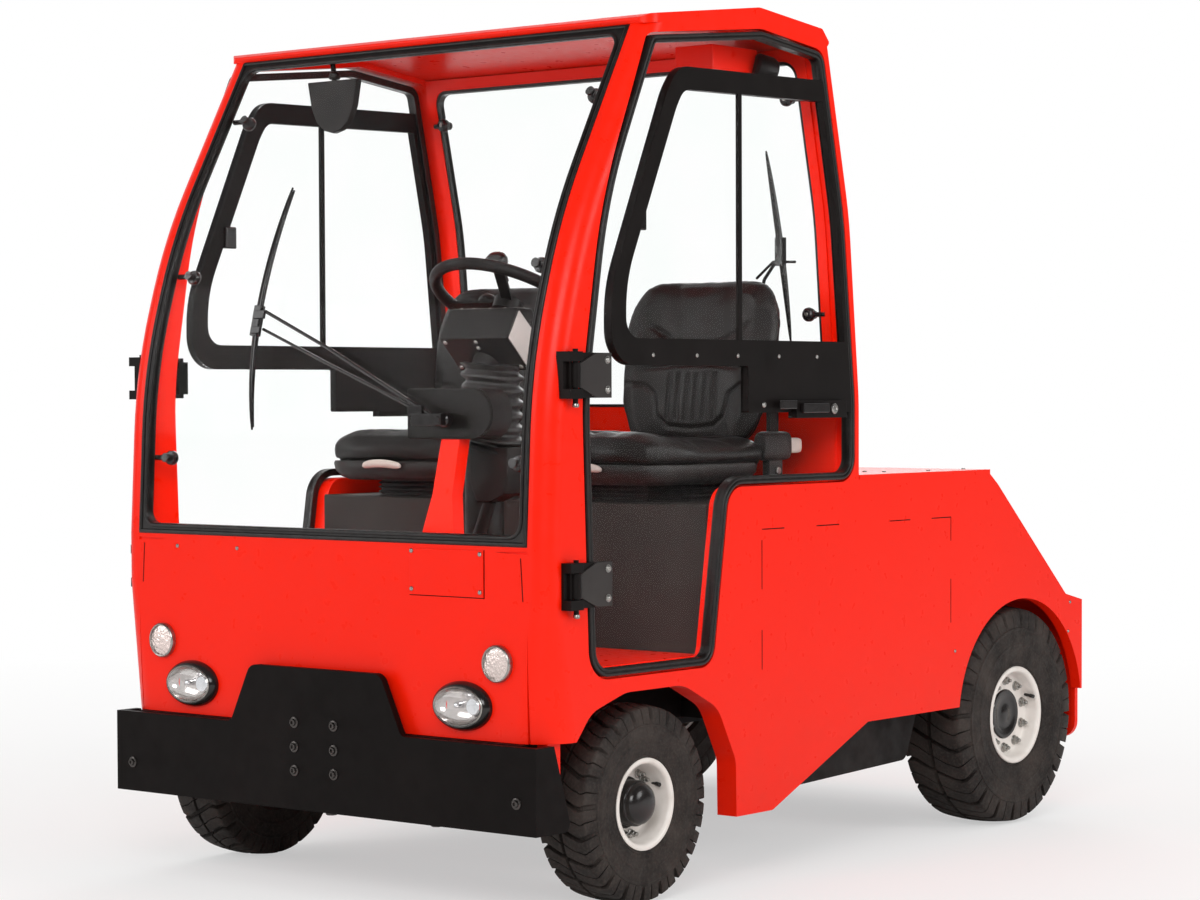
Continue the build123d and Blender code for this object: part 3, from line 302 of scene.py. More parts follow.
LOOK_OF_SLOT = {
    "body_red": RED, "chassis_black": CHASSIS, "bumper_black": BUMPER, "axle_black": AXLE,
    "rim_white": RIM, "tyre_black": TYRE, "seal_rubber": SEAL, "cab_glass": GLASS,
    "frame_black": FRAME, "hinge_black": FRAME, "plinth_grey": PLINTH, "seat_vinyl": VINYL,
    "suspension_grey": SUSPENSION, "plastic_black": PLASTIC, "drive_grey": DRIVE,
    "headlamp_clear": CHROME, "indicator_clear": LENS, "tail_lamp_red": LAMP_RED,
}

for entry in frame["record"]["subparts"]:
    if entry["node"] in NODES:
        obj = NODES[entry["node"]]
        if not obj.data.materials:
            obj.data.materials.append(None)
        for place in obj.material_slots:
            place.material = LOOK_OF_SLOT[entry["material_slot"]].material


# --- shapes ----------------------------------------------------------------------------


def aimed(centre, axis):
    """A frame at centre whose z runs along axis."""
    turn = Vector((0, 0, 1)).rotation_difference(Vector(axis).normalized()).to_matrix().to_4x4()
    return Matrix.Translation(centre) @ turn


def upright(y, x=0, z=0, way=1):
    """A frame for outlines that stand across the tug; way 1 makes them thick backward, -1 forward."""
    return Matrix(((1, 0, 0, x), (0, 0, way, y), (0, 1, 0, z), (0, 0, 0, 1)))


def crosswise(x):
    """A frame whose outlines are side views, (y, z), and whose thickness runs to the left."""
    return Matrix(((0, 0, 1, x), (1, 0, 0, 0), (0, 1, 0, 0), (0, 0, 0, 1)))


def circle(count):
    """Cosine and sine of evenly spread directions."""
    return [(math.cos(TURN * k / count), math.sin(TURN * k / count)) for k in range(count)]


def squarish(count, power, second=None):
    """Points round a square with rounded corners, from -1 to 1; a lower power is squarer."""
    made = []
    for c, s in circle(count):
        made.append((math.copysign(abs(c) ** power, c), math.copysign(abs(s) ** (second or power), s)))
    return made


def level_ring(x, y, z, half_x, half_y, points):
    return [Vector((x + half_x * u, y + half_y * v, z)) for u, v in points]


def upright_ring(x, y, z, half_x, half_z, points):
    return [Vector((x + half_x * u, y, z + half_z * v)) for u, v in points]


class Shape:
    """Solids of one piece, gathered in one mesh."""

    def __init__(self):
        self.bm = bmesh.new()

    def skin(self, rings, closed=False):
        """Faces between rings of equally many points, with their ends filled in or joined."""
        rows = [[self.bm.verts.new(point) for point in ring] for ring in rings]
        count = len(rows[0])
        pairs = list(zip(rows, rows[1:])) + ([(rows[-1], rows[0])] if closed else [])
        for one, two in pairs:
            for i in range(count):
                j = (i + 1) % count
                self.bm.faces.new((one[i], one[j], two[j], two[i]))
        if not closed:
            self.bm.faces.new(rows[0][::-1])
            self.bm.faces.new(rows[-1])
        return self

    def prism(self, face, thick, place):
        """A flat outline made thick along its frame's z, from 0."""
        return self.skin([[place @ Vector((x, y, z)) for x, y in face] for z in (0, thick)])

    def block(self, x, y, z, place=Matrix()):
        """A box between the given pairs of coordinates."""
        low = [(x[0], y[0]), (x[1], y[0]), (x[1], y[1]), (x[0], y[1])]
        return self.skin([[place @ Vector((a, b, height)) for a, b in low] for height in z])

    def turned(self, profile, centre, axis, sides=32, closed=False):
        """A profile of (radius, height) turned about an axis, as a ring when it is closed."""
        place, spokes, rings = aimed(centre, axis), circle(sides), []
        for radius, height in profile:
            rings.append([place @ Vector((radius * c, radius * s, height)) for c, s in spokes])
        return self.skin(rings, closed)

    def rod(self, start, end, radius, sides=24):
        run = Vector(end) - Vector(start)
        return self.turned([(radius, 0), (radius, run.length)], Vector(start), run, sides)

    def hose(self, points, radius, sides):
        """A round bar along smooth points, of one radius or of radius(share of the way)."""
        points = [Vector(p) for p in points]
        rings, side = [], None
        for i, point in enumerate(points):
            ahead = (points[min(i + 1, len(points) - 1)] - points[max(i - 1, 0)]).normalized()
            if side is None:
                side = ahead.orthogonal().normalized()
            side = (side - ahead * side.dot(ahead)).normalized()
            up = ahead.cross(side)
            size = radius(i / (len(points) - 1)) if callable(radius) else radius
            rings.append([point + side * size * c + up * size * s for c, s in circle(sides)])
        return self.skin(rings)

    def hexagon(self, centre, axis, radius, height):
        """A hexagon head or nut."""
        profile = [(radius, 0), (radius, height * 0.85), (radius * 0.86, height)]
        return self.turned(profile, centre, axis, 6)

    def dome(self, centre, axis, radius, height):
        """A domed round screw head."""
        profile = [
            (radius, 0), (radius * 0.97, height * 0.35), (radius * 0.8, height * 0.75),
            (radius * 0.42, height), (0.3, height),
        ]
        return self.turned(profile, centre, axis, 16)

    def mesh(self, name):
        """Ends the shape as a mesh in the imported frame."""
        bmesh.ops.recalc_face_normals(self.bm, faces=self.bm.faces)
        bmesh.ops.transform(self.bm, matrix=TO_FRAME, verts=self.bm.verts)
        mesh = bpy.data.meshes.new(name)
        self.bm.to_mesh(mesh)
        self.bm.free()
        return mesh

    def piece(self, name, slot, look, **more):
        """Ends the shape as one piece of the tug."""
        finished(self.mesh(name), name, slot, look, **more)


def placed(name, data):
    """A new object in the scene."""
    obj = bpy.data.objects.new(name, data)
    SCENE.collection.objects.link(obj)
    return obj


def finished(mesh, name, slot, look, body="chassis", bevel=0.0, sharp=35, replaces=()):
    """A mesh as a piece that rides on a body, shaded smooth but for edges sharper than sharp."""
    obj = placed(name, mesh)
    mesh.materials.append(look.material)
    mesh.shade_smooth()
    mesh.set_sharp_from_angle(angle=math.radians(sharp))
    if bevel:
        rounding = obj.modifiers.new("rounding", "BEVEL")
        rounding.width = bevel / MM
        rounding.segments = 2
        rounding.limit_method = "ANGLE"
        rounding.angle_limit = math.radians(32)
        rounding.harden_normals = True
    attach(obj, body)
    if replaces:
        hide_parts(*replaces)
    return obj


# --- camera, light and floor -----------------------------------------------------------


def camera():
    data = bpy.data.cameras.new("camera")
    data.sensor_width, data.lens = 36.0, 89.99
    data.shift_x, data.shift_y = -0.0269, 0.042
    heading, dip, roll = 38.567, 2.099, 0.192
    eye = placed("camera", data)
    eye.matrix_world = (
        Matrix.Translation((4.896, -6.178, 1.174))
        @ Matrix.Rotation(math.radians(heading), 4, "Z")
        @ Matrix.Rotation(math.radians(90 - dip), 4, "X")
        @ Matrix.Rotation(math.radians(-roll), 4, "Z")
    )
    SCENE.camera = eye


def lamp(name, place, target, size, watts):
    data = bpy.data.lights.new(name, "AREA")
    data.shape = "RECTANGLE"
    data.size, data.size_y = size
    data.energy = watts
    obj = placed(name, data)
    obj.location = place
    obj.rotation_euler = (Vector(target) - Vector(place)).to_track_quat("-Z", "Y").to_euler()


def world(strength):
    """White to the eye and through glass. Reflections see a white backdrop and a dark studio."""
    made = bpy.data.worlds.new("studio")
    SCENE.world = made
    tree = Tree(made)

    def light(colour, power):
        return tree.node("ShaderNodeBackground", {"Color": colour, "Strength": power}).outputs[0]

    path = tree.node("ShaderNodeLightPath").outputs
    ray = tree.node("ShaderNodeTexCoord").outputs["Generated"]
    to_backdrop = (-0.62, 0.78, 0.05)
    along = tree.node("ShaderNodeVectorMath", {0: ray, 1: to_backdrop}, operation="DOT_PRODUCT")
    mirrored = light((1, 1, 1, 1), tree.remap(along.outputs["Value"], 0.35, 0.8, 0.10, 1.0))
    soft = light((1.0, 0.985, 0.97, 1), strength)
    unseen = tree.mix(path["Is Glossy Ray"], soft, mirrored)
    surface = tree.mix(tree.seen(path), unseen, light((1, 1, 1, 1), 1.0))
    tree.links.new(surface, tree.nodes["World Output"].inputs["Surface"])


def floor():
    """A pale floor that keeps the tug's shadow and fades into the white background."""
    mesh = bpy.data.meshes.new("floor")
    ground = bmesh.new()
    bmesh.ops.create_circle(ground, cap_ends=True, radius=60, segments=64)
    ground.to_mesh(mesh)
    ground.free()
    obj = placed("floor", mesh)
    obj.location.z = -0.001
    look = Look("floor_white", (0.9, 0.9, 0.9, 1), 0.9, Specular_IOR_Level=0.0)
    glow = look.node("ShaderNodeEmission", {"Color": (1, 1, 1, 1)}).outputs[0]
    distance = look.node("ShaderNodeVectorMath", {0: look.where}, operation="LENGTH")
    far = look.remap(distance.outputs["Value"], 1.6, 6.0, 0.5, 1.0)
    seen = look.seen(look.node("ShaderNodeLightPath").outputs)
    share = look.combine("MULTIPLY", far, seen)
    look.links.new(look.mix(share, look.shader.outputs[0], glow), look.surface)
    mesh.materials.append(look.material)


SCENE.view_settings.view_transform = "Standard"
camera()
world(0.62)
lamp("key", (4.6, -7.0, 4.6), (0, 0, 1.0), (4.0, 3.0), 290)
lamp("side", (8.0, 1.5, 3.6), (0, 0.2, 0.8), (3.5, 3.0), 185)
lamp("fill", (-5.0, -6.0, 3.0), (0, 0, 0.9), (3.0, 3.0), 90)
lamp("back", (-4.0, 6.5, 4.5), (0, 0.4, 1.0), (4.0, 3.0), 160)
floor()


# --- tyres -----------------------------------------------------------------------------

LUGS = 20
FIRST_LUG_COLUMN = 15
SHOULDER_COLUMNS = 5
SHOULDER_WIDENING = 0.012
SIPE_WAVES, SIPE_WAVE_MM = 14, 2.2


def tyre_columns(radius, half, bead):
    """Across the tyre, outside half: (groove radius, groove offset, lug radius, lug offset)."""
    plain = [
        (bead - 2, 0.80), (bead + 1, 0.87), (bead + 7, 0.93), (bead + 9, 0.945),
        (bead + 11, 0.93), (0.60 * radius, 0.965), (0.635 * radius, 0.985), (0.64 * radius, 0.998),
        (0.655 * radius, 1.0), (0.66 * radius, 0.99), (0.72 * radius, 1.0), (0.775 * radius, 0.985),
        (0.785 * radius, 1.0), (0.80 * radius, 0.998), (0.806 * radius, 0.972),
    ]
    rows = [(r, s * half, r, s * half) for r, s in plain]
    lugged = [
        (0.825, 0.945, 0.825, 0.975), (0.85, 0.90, 0.855, 0.968), (0.90, 0.84, 0.91, 0.945),
        (0.935, 0.78, 0.955, 0.92), (0.943, 0.73, 0.968, 0.895), (0.945, 0.66, 0.976, 0.855),
        (0.945, 0.58, 0.982, 0.75), (0.945, 0.48, 0.988, 0.60), (0.945, 0.34, 0.994, 0.42),
        (0.945, 0.18, 0.998, 0.24), (0.945, 0.06, 1.0, 0.06),
    ]
    return rows + [(a * radius, b * half, c * radius, d * half) for a, b, c, d in lugged]


def lug_line(across, half):
    """How far round the tyre, in millimetres, the lug's edge runs at that offset."""
    knee, slant = 0.66, 0.52
    share = across / half
    if abs(share) < knee:
        return -share * half * slant
    end = -math.copysign(knee, share) * half * slant
    return end + math.copysign((abs(share) - knee) * half * 0.35, share)


def tyre(node, body, bead):
    """A tyre with slanted lugs, each split by a wavy sipe, and a groove round its middle."""
    low, high = box_mm(node)
    centre = (low + high) / 2
    radius, half = (high.z - low.z) / 2, (high.x - low.x) / 2
    outward = math.copysign(1.0, centre.x)
    outer = tyre_columns(radius, half, bead)
    columns = outer + [(radius * 0.95, offset, radius * 0.945, offset) for offset in (2.2, 0.0, -2.2)]
    columns += [(a, -b, c, -d) for a, b, c, d in outer[::-1]]
    middle_column, tread_column = len(outer) + 1, FIRST_LUG_COLUMN + SHOULDER_COLUMNS
    pitch = TURN / LUGS
    groove, sipe, wall, lip = (size / radius / pitch for size in (6.5, 1.6, 2.2, 1.2))
    # Share of the pitch, height of the lug there from 0 to 1, and whether it is the sipe's wall.
    marks = [
        (0.0, 0.0, 0), (groove - wall, 0.0, 0), (groove, 0.93, 0), (groove + lip, 1.0, 0),
        (0.27, 1.0, 0), (0.5 - sipe - lip, 1.0, 1), (0.5 - sipe, 0.9, 1), (0.5 - sipe * 0.6, 0.0, 1),
        (0.5 + sipe * 0.6, 0.0, 1), (0.5 + sipe, 0.9, 1), (0.5 + sipe + lip, 1.0, 1), (0.73, 1.0, 0),
        (1 - groove - lip, 1.0, 0), (1 - groove, 0.93, 0), (1 - groove + wall, 0.0, 0),
    ]

    def point(lug, share, height, wave, index):
        low_r, low_x, high_r, high_x = columns[index]
        edge = min(index, len(columns) - 1 - index)
        level = height
        if wave and height < 0.95 and edge >= tread_column:
            level = 0.55 + 0.45 * height
        if index == middle_column:
            level = 0.0
        r = low_r + (high_r - low_r) * level
        x = low_x + (high_x - low_x) * level
        if FIRST_LUG_COLUMN <= edge < tread_column and not wave:
            shoulder = (tread_column - edge) / SHOULDER_COLUMNS * SHOULDER_WIDENING
            if 0 < share < 0.2:
                share += shoulder
            elif share > 0.8:
                share -= shoulder
        round_about = lug_line(x, half) / radius
        if wave and edge >= tread_column:
            round_about += math.sin(x / half * SIPE_WAVES) * SIPE_WAVE_MM / radius
        angle = (lug + 0.5 + share) * pitch + round_about
        return Vector((
            centre.x + outward * x,
            centre.y - AXLE_Y - r * math.cos(angle),
            centre.z + r * math.sin(angle),
        ))

    rings = []
    for lug in range(LUGS):
        for mark in marks:
            rings.append([point(lug, *mark, index) for index in range(len(columns))])
    shape = Shape().skin(rings, closed=True)
    shape.piece("lugged_" + node, "tyre_black", TYRE, body=body, sharp=30, replaces=(node,))


for hand, _ in SIDES:
    for end, bead_radius in (("front", 105), ("rear", 128)):
        tyre(f"{end}_tyre_{hand}", f"{end}_wheel_{hand}", bead_radius)


# --- seats -----------------------------------------------------------------------------


def superellipse(share, power):
    """Height of a rounded bar's edge, 1 in the middle and 0 at share 1."""
    return max(0.0, 1 - abs(share) ** power) ** (1 / power)


def valley(distance, width):
    """1 on a line, falling to nothing within about twice its width."""
    return math.exp(-((distance / width) ** 2))


def to_line(x, z, points):
    """Distance in a plane from a point to a run of lines."""
    best = 1e9
    for (ax, az), (bx, bz) in zip(points, points[1:]):
        dx, dz = bx - ax, bz - az
        share = max(0.0, min(1.0, ((x - ax) * dx + (z - az) * dz) / (dx * dx + dz * dz)))
        best = min(best, math.hypot(x - ax - dx * share, z - az - dz * share))
    return best


def smooth(value, low, high):
    """0 below low, 1 above high and an easy slope between."""
    share = max(0.0, min(1.0, (value - low) / (high - low)))
    return share * share * (3 - 2 * share)


def swollen(mesh, voxel_mm, pressure, cap_mm):
    """The mesh after its cover has been filled: remeshed evenly, then blown up as cloth."""
    obj = placed("pad", mesh)

    def baked():
        graph = bpy.context.evaluated_depsgraph_get()
        return bpy.data.meshes.new_from_object(obj.evaluated_get(graph))

    remesh = obj.modifiers.new("remesh", "REMESH")
    remesh.mode, remesh.voxel_size = "VOXEL", voxel_mm / MM
    even_mesh = baked()
    obj.modifiers.clear()
    obj.data = even_mesh
    start = [v.co.copy() for v in even_mesh.vertices]
    cloth = obj.modifiers.new("cloth", "CLOTH").settings
    cloth.use_pressure = True
    cloth.uniform_pressure_force = pressure
    cloth.effector_weights.gravity = 0.0
    for step in range(1, 21):
        SCENE.frame_set(step)
    for vertex, first, last in zip(even_mesh.vertices, start, baked().vertices):
        move = last.co - first
        if move.length > cap_mm / MM:
            move *= cap_mm / MM / move.length
        vertex.co = first + move
    obj.modifiers.clear()
    SCENE.frame_set(1)
    obj.modifiers.new("smoother", "SUBSURF").levels = 1
    fine = baked()
    bpy.data.objects.remove(obj)
    return fine


def carved(mesh, relief):
    """Moves each point along its normal by relief(point in millimetres, normal)."""
    moves = []
    for vertex in mesh.vertices:
        moves.append(vertex.normal * (relief(FROM_FRAME @ vertex.co, vertex.normal) / MM))
    for vertex, move in zip(mesh.vertices, moves):
        vertex.co += move
    mesh.update()


def cushion(centre):
    """Seat part: a fat front roll, raised sides, and a pulled-in waist all round."""
    low, steps, rings = 978, 26, []
    for i in range(steps + 1):
        share = i / steps
        y = CUSHION_FRONT + (CUSHION_BACK - CUSHION_FRONT) * share
        ends = min(1.0, share / 0.10), min(1.0, (1 - share) / 0.10)
        pull = superellipse(1 - ends[0], 2.3) * superellipse(1 - ends[1], 2.3)
        half = 242 * (0.84 + 0.16 * min(1.0, share / 0.35)) * (0.55 + 0.45 * pull)
        top = 1070 - 16 * smooth(share, 0.12, 0.4) + 4 * smooth(share, 0.6, 1.0)
        tall = (top - low) / 2 * (0.25 + 0.75 * pull)
        rings.append(upright_ring(centre, y, (top + low) / 2, half, tall, squarish(56, 0.55, 0.7)))
    return Shape().skin(rings)


def back_half(z):
    """Half width of the backrest at a height."""
    rows = [
        (1030, 172), (1070, 200), (1140, 232), (1200, 238), (1250, 243), (1300, 247),
        (1342, 246), (1380, 236), (1410, 220), (1440, 200), (1456, 188),
    ]
    for (low, a), (high, b) in zip(rows, rows[1:]):
        if z <= high:
            return a + (b - a) * max(0.0, (z - low) / (high - low))
    return rows[-1][1]


def backrest(centre):
    """Backrest: wings that come forward at both sides, wide at shoulder height."""
    steps, rings = 30, []
    for i in range(steps + 1):
        share = i / steps
        z = BACK_LOW + (BACK_HIGH - BACK_LOW) * share
        foot = superellipse(1 - min(1.0, share / 0.07), 2.2)
        edge = foot * superellipse(1 - min(1.0, (1 - share) / 0.09), 2.2)
        half, lean = back_half(z), 52 * share
        thick = (38 - 10 * share) * (0.3 + 0.7 * edge)
        ring = []
        for across, along in squarish(56, 0.62, 0.75):
            wing = 34 * smooth(abs(across), 0.42, 1.0) * (1 - 0.45 * share)
            y = 650 + lean - wing + thick * along - 8 * math.cos((share - 0.22) * 3.2)
            ring.append(Vector((centre + across * half * (0.82 + 0.18 * edge), y, z)))
        rings.append(ring)
    return Shape().skin(rings)


def cushion_relief(centre):
    """Seam round the sitting part, cross pipes, a hollow, a waist line and folds."""
    seam = [(-175, 262), (-150, 560), (0, 590), (150, 560), (175, 262), (0, 236), (-175, 262)]

    def relief(point, normal):
        x, y, z = point.x - centre, point.y, point.z
        depth = 0.0
        if normal.z > 0.3:
            depth -= 4.5 * valley(to_line(x, y, seam), 5)
            inside = smooth(168 - abs(x), 0, 14) * smooth(y, 255, 275) * smooth(575 - y, 0, 20)
            for row in (330, 400, 470, 530):
                depth -= 3.2 * inside * valley(y - row, 5)
            depth -= 9 * smooth(190 - abs(x), 0, 80) * smooth(y, 250, 330) * smooth(620 - y, 0, 60)
        if abs(normal.z) < 0.85:
            depth -= 5.0 * valley(z - 998, 4.0)
        large = noise.noise(Vector((x / 60, y / 60, z / 40 + centre)))
        small = noise.noise(Vector((x / 23, y / 23, z / 20)))
        return depth + 1.1 * (large + 0.5 * small)

    return relief


def back_relief(centre):
    """Cup-shaped seam with upright pipes in it, creases at the shoulders and folds."""
    cup = [
        (-215, 1192), (-150, 1188), (-118, 1165), (-104, 1110), (-70, 1084), (0, 1078),
        (70, 1084), (104, 1110), (118, 1165), (150, 1188), (215, 1192),
    ]
    creases = [
        [(-150, 1338), (-95, 1305), (-52, 1288)], [(-128, 1330), (-88, 1306)],
        [(150, 1338), (95, 1305), (52, 1288)],
    ]

    def relief(point, normal):
        x, z = point.x - centre, point.z
        depth = 0.0
        if normal.y < -0.25:
            depth -= 6 * valley(to_line(x, z, cup), 5)
            for row in (-72, -43, -14, 14, 43, 72):
                within = smooth(z, 1092 + abs(row) * 0.1, 1106) * smooth(1225 - z, 0, 12)
                depth -= 5 * valley(x - row, 4.5) * within
            depth -= 4 * valley(z - 1238 + x * x / 2400, 5) * smooth(170 - abs(x), 0, 30)
            for line in creases:
                depth -= 4 * valley(to_line(x, z, line), 6)
        if abs(normal.y) < 0.6:
            depth -= 3 * valley(normal.y - 0.15, 0.12)
        large = noise.noise(Vector((x / 70, z / 70, centre)))
        small = noise.noise(Vector((x / 26, z / 26, centre)))
        return depth + 1.2 * (large + 0.5 * small)

    return relief


def seats():
    for hand, outward in SIDES:
        centre = outward * SEAT_X
        for part, build, relief, node in (
            ("seat_cushion", cushion, cushion_relief, "seat_cushions"),
            ("seat_back", backrest, back_relief, "seat_backs"),
        ):
            mesh = swollen(build(centre).mesh(part), voxel_mm=9.0, pressure=4.0, cap_mm=9.0)
            carved(mesh, relief(centre))
            obj = finished(mesh, f"{part}_{hand}", "seat_vinyl", VINYL, sharp=70, replaces=(node,))


# --- steering column, dash pod, seat fittings and roof fan ------------------------------


def column():
    """Bellows gaiter between the dash pod and the column box, and the box with its pipe."""
    rings, steps = [], 45
    for i in range(steps + 1):
        share = i / steps
        z = 1236 - 196 * share
        ridge = 6.0 * math.cos(share * TURN * 7)
        half_x, half_y = 66 - 8 * share + ridge, 56 + ridge
        x, y = 343 + 38 * share, -158 - 34 * share
        ring = []
        for (c, _), (u, v) in zip(circle(40), squarish(40, 0.75)):
            tilt = 14 * c * (0.4 + 0.6 * share)
            ring.append(Vector((x + half_x * u, y + half_y * v, z - tilt)))
        rings.append(ring)
    Shape().skin(rings).piece("column_gaiter", "plastic_black", SEAL, sharp=60)

    rings = []
    for (x0, x1), (y0, y1), z in (
        ((342, 457), (-236, -168), 1046), ((342, 457), (-236, -168), 972),
        ((350, 440), (-232, -172), 940), ((356, 396), (-228, -178), 921),
    ):
        rings.append([Vector((*corner, z)) for corner in ((x0, y0), (x1, y0), (x1, y1), (x0, y1))])
    box, pipe_y = Shape().skin(rings), -203
    box.rod((376, pipe_y, 924), (341, pipe_y, 842), 15)
    box.rod((341, pipe_y, 846), (338, pipe_y, 560), 15)
    box.turned([(24, 0), (24, 26), (19, 30), (19, 60)], (341, pipe_y, 838), DOWN, 24)
    box.piece("column_box", "plastic_black", PLASTIC, bevel=5)


def dash():
    """Slanted dash pod with its pale side plate and screws, the linkage cover and the wheel's knob."""
    side = [(-206, 1295), (-132, 1221), (-104, 1232), (-90, 1310), (-120, 1362), (-167, 1364)]
    pod = Shape().prism(side, 210, crosswise(222))
    pod.piece("dash_pod_shell", "plastic_black", PLASTIC, bevel=4, replaces=("dash_pod",))
    side = [(-203, 1294), (-133, 1224), (-114, 1308), (-166, 1357)]
    Shape().prism(side, 2, crosswise(432.5)).piece("dash_pod_side", "plinth_grey", PALE_GREY, bevel=0.8)
    screws = Shape()
    outward = Vector((0, -1, -1)).normalized()
    for x, share in ((236, 0.12), (330, 0.12), (326, 0.30), (236, 0.88), (418, 0.88)):
        point = Vector((x, -206, 1295)) + Vector((0, 74, -74)) * share + outward * 0.5
        screws.dome(point, outward, 5.5, 3.4)
    for x in (262, 300, 350, 394):
        screws.dome((x, -170, 1362.5), (0, -0.1, 1), 3.2, 2)
    screws.piece("dash_screws", "hinge_black", STEEL)

    outline = []
    for k in range(33):
        angle = math.radians(90 - 180 * k / 32)
        outline.append((431 + 57 * math.cos(angle), 1123 + 57 * math.sin(angle)))
    outline += [(240, 1066), (236, 1070), (236, 1176), (240, 1180)]
    cover = Shape().prism(outline, 7, upright(-322, way=-1))
    cover.piece("linkage_cover", "plastic_black", FRAME, bevel=3)
    profile = [
        (13, 0), (13, 14), (9, 20), (9, 30), (22, 38), (27, 48), (28, 58), (24, 68), (15, 74), (4, 76),
    ]
    knob = Shape().turned(profile, (214, 34, 1432), (0, -0.47, 0.88))
    knob.piece("wheel_knob", "plastic_black", GLOSSY, body="steering_wheel", sharp=50)


def recliner(hand, outer, x):
    """The recliner at a seat's outer side: knuckle cover, pale grip and bolts."""
    pivot_z = 1036

    def across(rows, half_x, half_z, points):
        return [upright_ring(x, y, pivot_z, half_x * size, half_z * size, points) for y, size in rows]

    rows = ((598, 0.80), (604, 0.94), (614, 1.0), (690, 1.0), (704, 0.94), (708, 0.82))
    cover = Shape().skin(across(rows, 22, 36, squarish(32, 0.6)))
    cover.block((x - 14, x + 8), (628, 684), (962, 1010))
    cover.block((x - 12, x + 2), (640, 676), (1060, 1150))
    cover.piece(f"recliner_{hand}", "suspension_grey", SUSPENSION, bevel=3, sharp=50)
    rows = ((706, 0.9), (712, 1.0), (748, 1.0), (757, 0.9))
    grip = Shape().skin(across(rows, 15, 19, squarish(24, 0.5)))
    grip.piece(f"recliner_grip_{hand}", "suspension_grey", PALE, sharp=50)
    bolts = Shape()
    bolts.hexagon((x + outer * 9, 658, 975), (outer, 0, 0), 10, 7)
    bolts.hexagon((x + outer * 4, 652, 1138), (outer, 0, 0), 9, 6)
    bolts.piece(f"recliner_bolts_{hand}", "hinge_black", STEEL, bevel=0.8)


def seat_fittings():
    """Below each seat its pan, slide lever and suspension bellows, and beside it the recliner."""
    middle_y = (CUSHION_FRONT + CUSHION_BACK) / 2
    for hand, outer in SIDES:
        centre = outer * SEAT_X
        rings = []
        for z, size in ((948, 0.86), (956, 0.93), (972, 0.985), (990, 1.0), (996, 0.99)):
            half = 232 * size
            rings.append(level_ring(centre, middle_y + 4 * size, z, half, half, squarish(48, 0.4)))
        Shape().skin(rings).piece(f"seat_pan_{hand}", "suspension_grey", SUSPENSION, sharp=40)

        points = []
        for k in range(17):
            share = k / 16
            sag = (2 * share - 1) ** 2
            points.append((centre - 64 + 128 * share, CUSHION_FRONT - 6 + 9 * sag, 985 + 7 * (1 - sag)))
        grip = Shape().hose(points, lambda t: 4 + 6.5 * math.sqrt(max(0.0, 1 - (2 * t - 1) ** 4)), 14)
        grip.piece(f"slide_grip_{hand}", "suspension_grey", PALE, sharp=60)

        rings = []
        for i in range(25):
            share = i / 24
            ridge = 3.5 * math.cos(share * TURN * 4)
            half_x, half_y = 150 + ridge, 158 + ridge
            rings.append(level_ring(centre, 455, 905 + 44 * share, half_x, half_y, squarish(40, 0.35)))
        Shape().skin(rings).piece(f"suspension_bellows_{hand}", "suspension_grey", SUSPENSION, sharp=60)
        recliner(hand, outer, centre + outer * 226)


def roof_inside():
    """Bracket under the roof and the two drums of the fan on it."""
    Shape().block((430, 545), (418, 600), (1944, 2004)).piece("roof_bracket", "body_red", RED, bevel=3)
    fan = Shape()
    profile = [(46, 0), (52, 6), (52, 30), (44, 38), (20, 42), (4, 42)]
    fan.turned(profile, (470, 640, 1962), (0.2, 0.9, -0.25))
    profile = [(30, 0), (38, 8), (40, 44), (34, 58), (10, 62)]
    fan.turned(profile, (540, 585, 1962), (0.5, 0.8, -0.3))
    fan.piece("roof_fan_body", "plastic_black", PLASTIC, sharp=40, replaces=("roof_fan",))


# --- wheels ----------------------------------------------------------------------------

FRONT_DISH = [
    (105, 536), (105, 654), (107.5, 660), (106, 664), (100, 665.5), (94, 663), (91.5, 656), (90.5, 636),
    (89.5, 618), (86, 609), (80, 606), (54, 606), (54, 598), (80, 598), (88, 600), (97, 560), (97, 536),
]
REAR_DISH = [
    (128, 492), (128, 654), (131, 658), (131.5, 662), (129, 665), (122, 665.5), (117, 663), (114, 656),
    (112, 640), (110, 631), (106, 627), (100, 626), (66, 626), (66, 616), (104, 616), (119, 600), (119, 492),
]
FRONT_HUB = [
    (60, 600), (60, 607), (54, 609), (53, 612), (53, 640), (51, 643), (49, 644), (48.5, 648), (47, 653),
    (43, 659), (36, 664), (27, 667.5), (16, 669.5), (1, 670.2),
]
REAR_HUB = [(67, 618), (67, 628), (64, 631), (50, 631.6), (48, 630.4), (20, 630.4), (18, 631.4), (1, 631.4)]


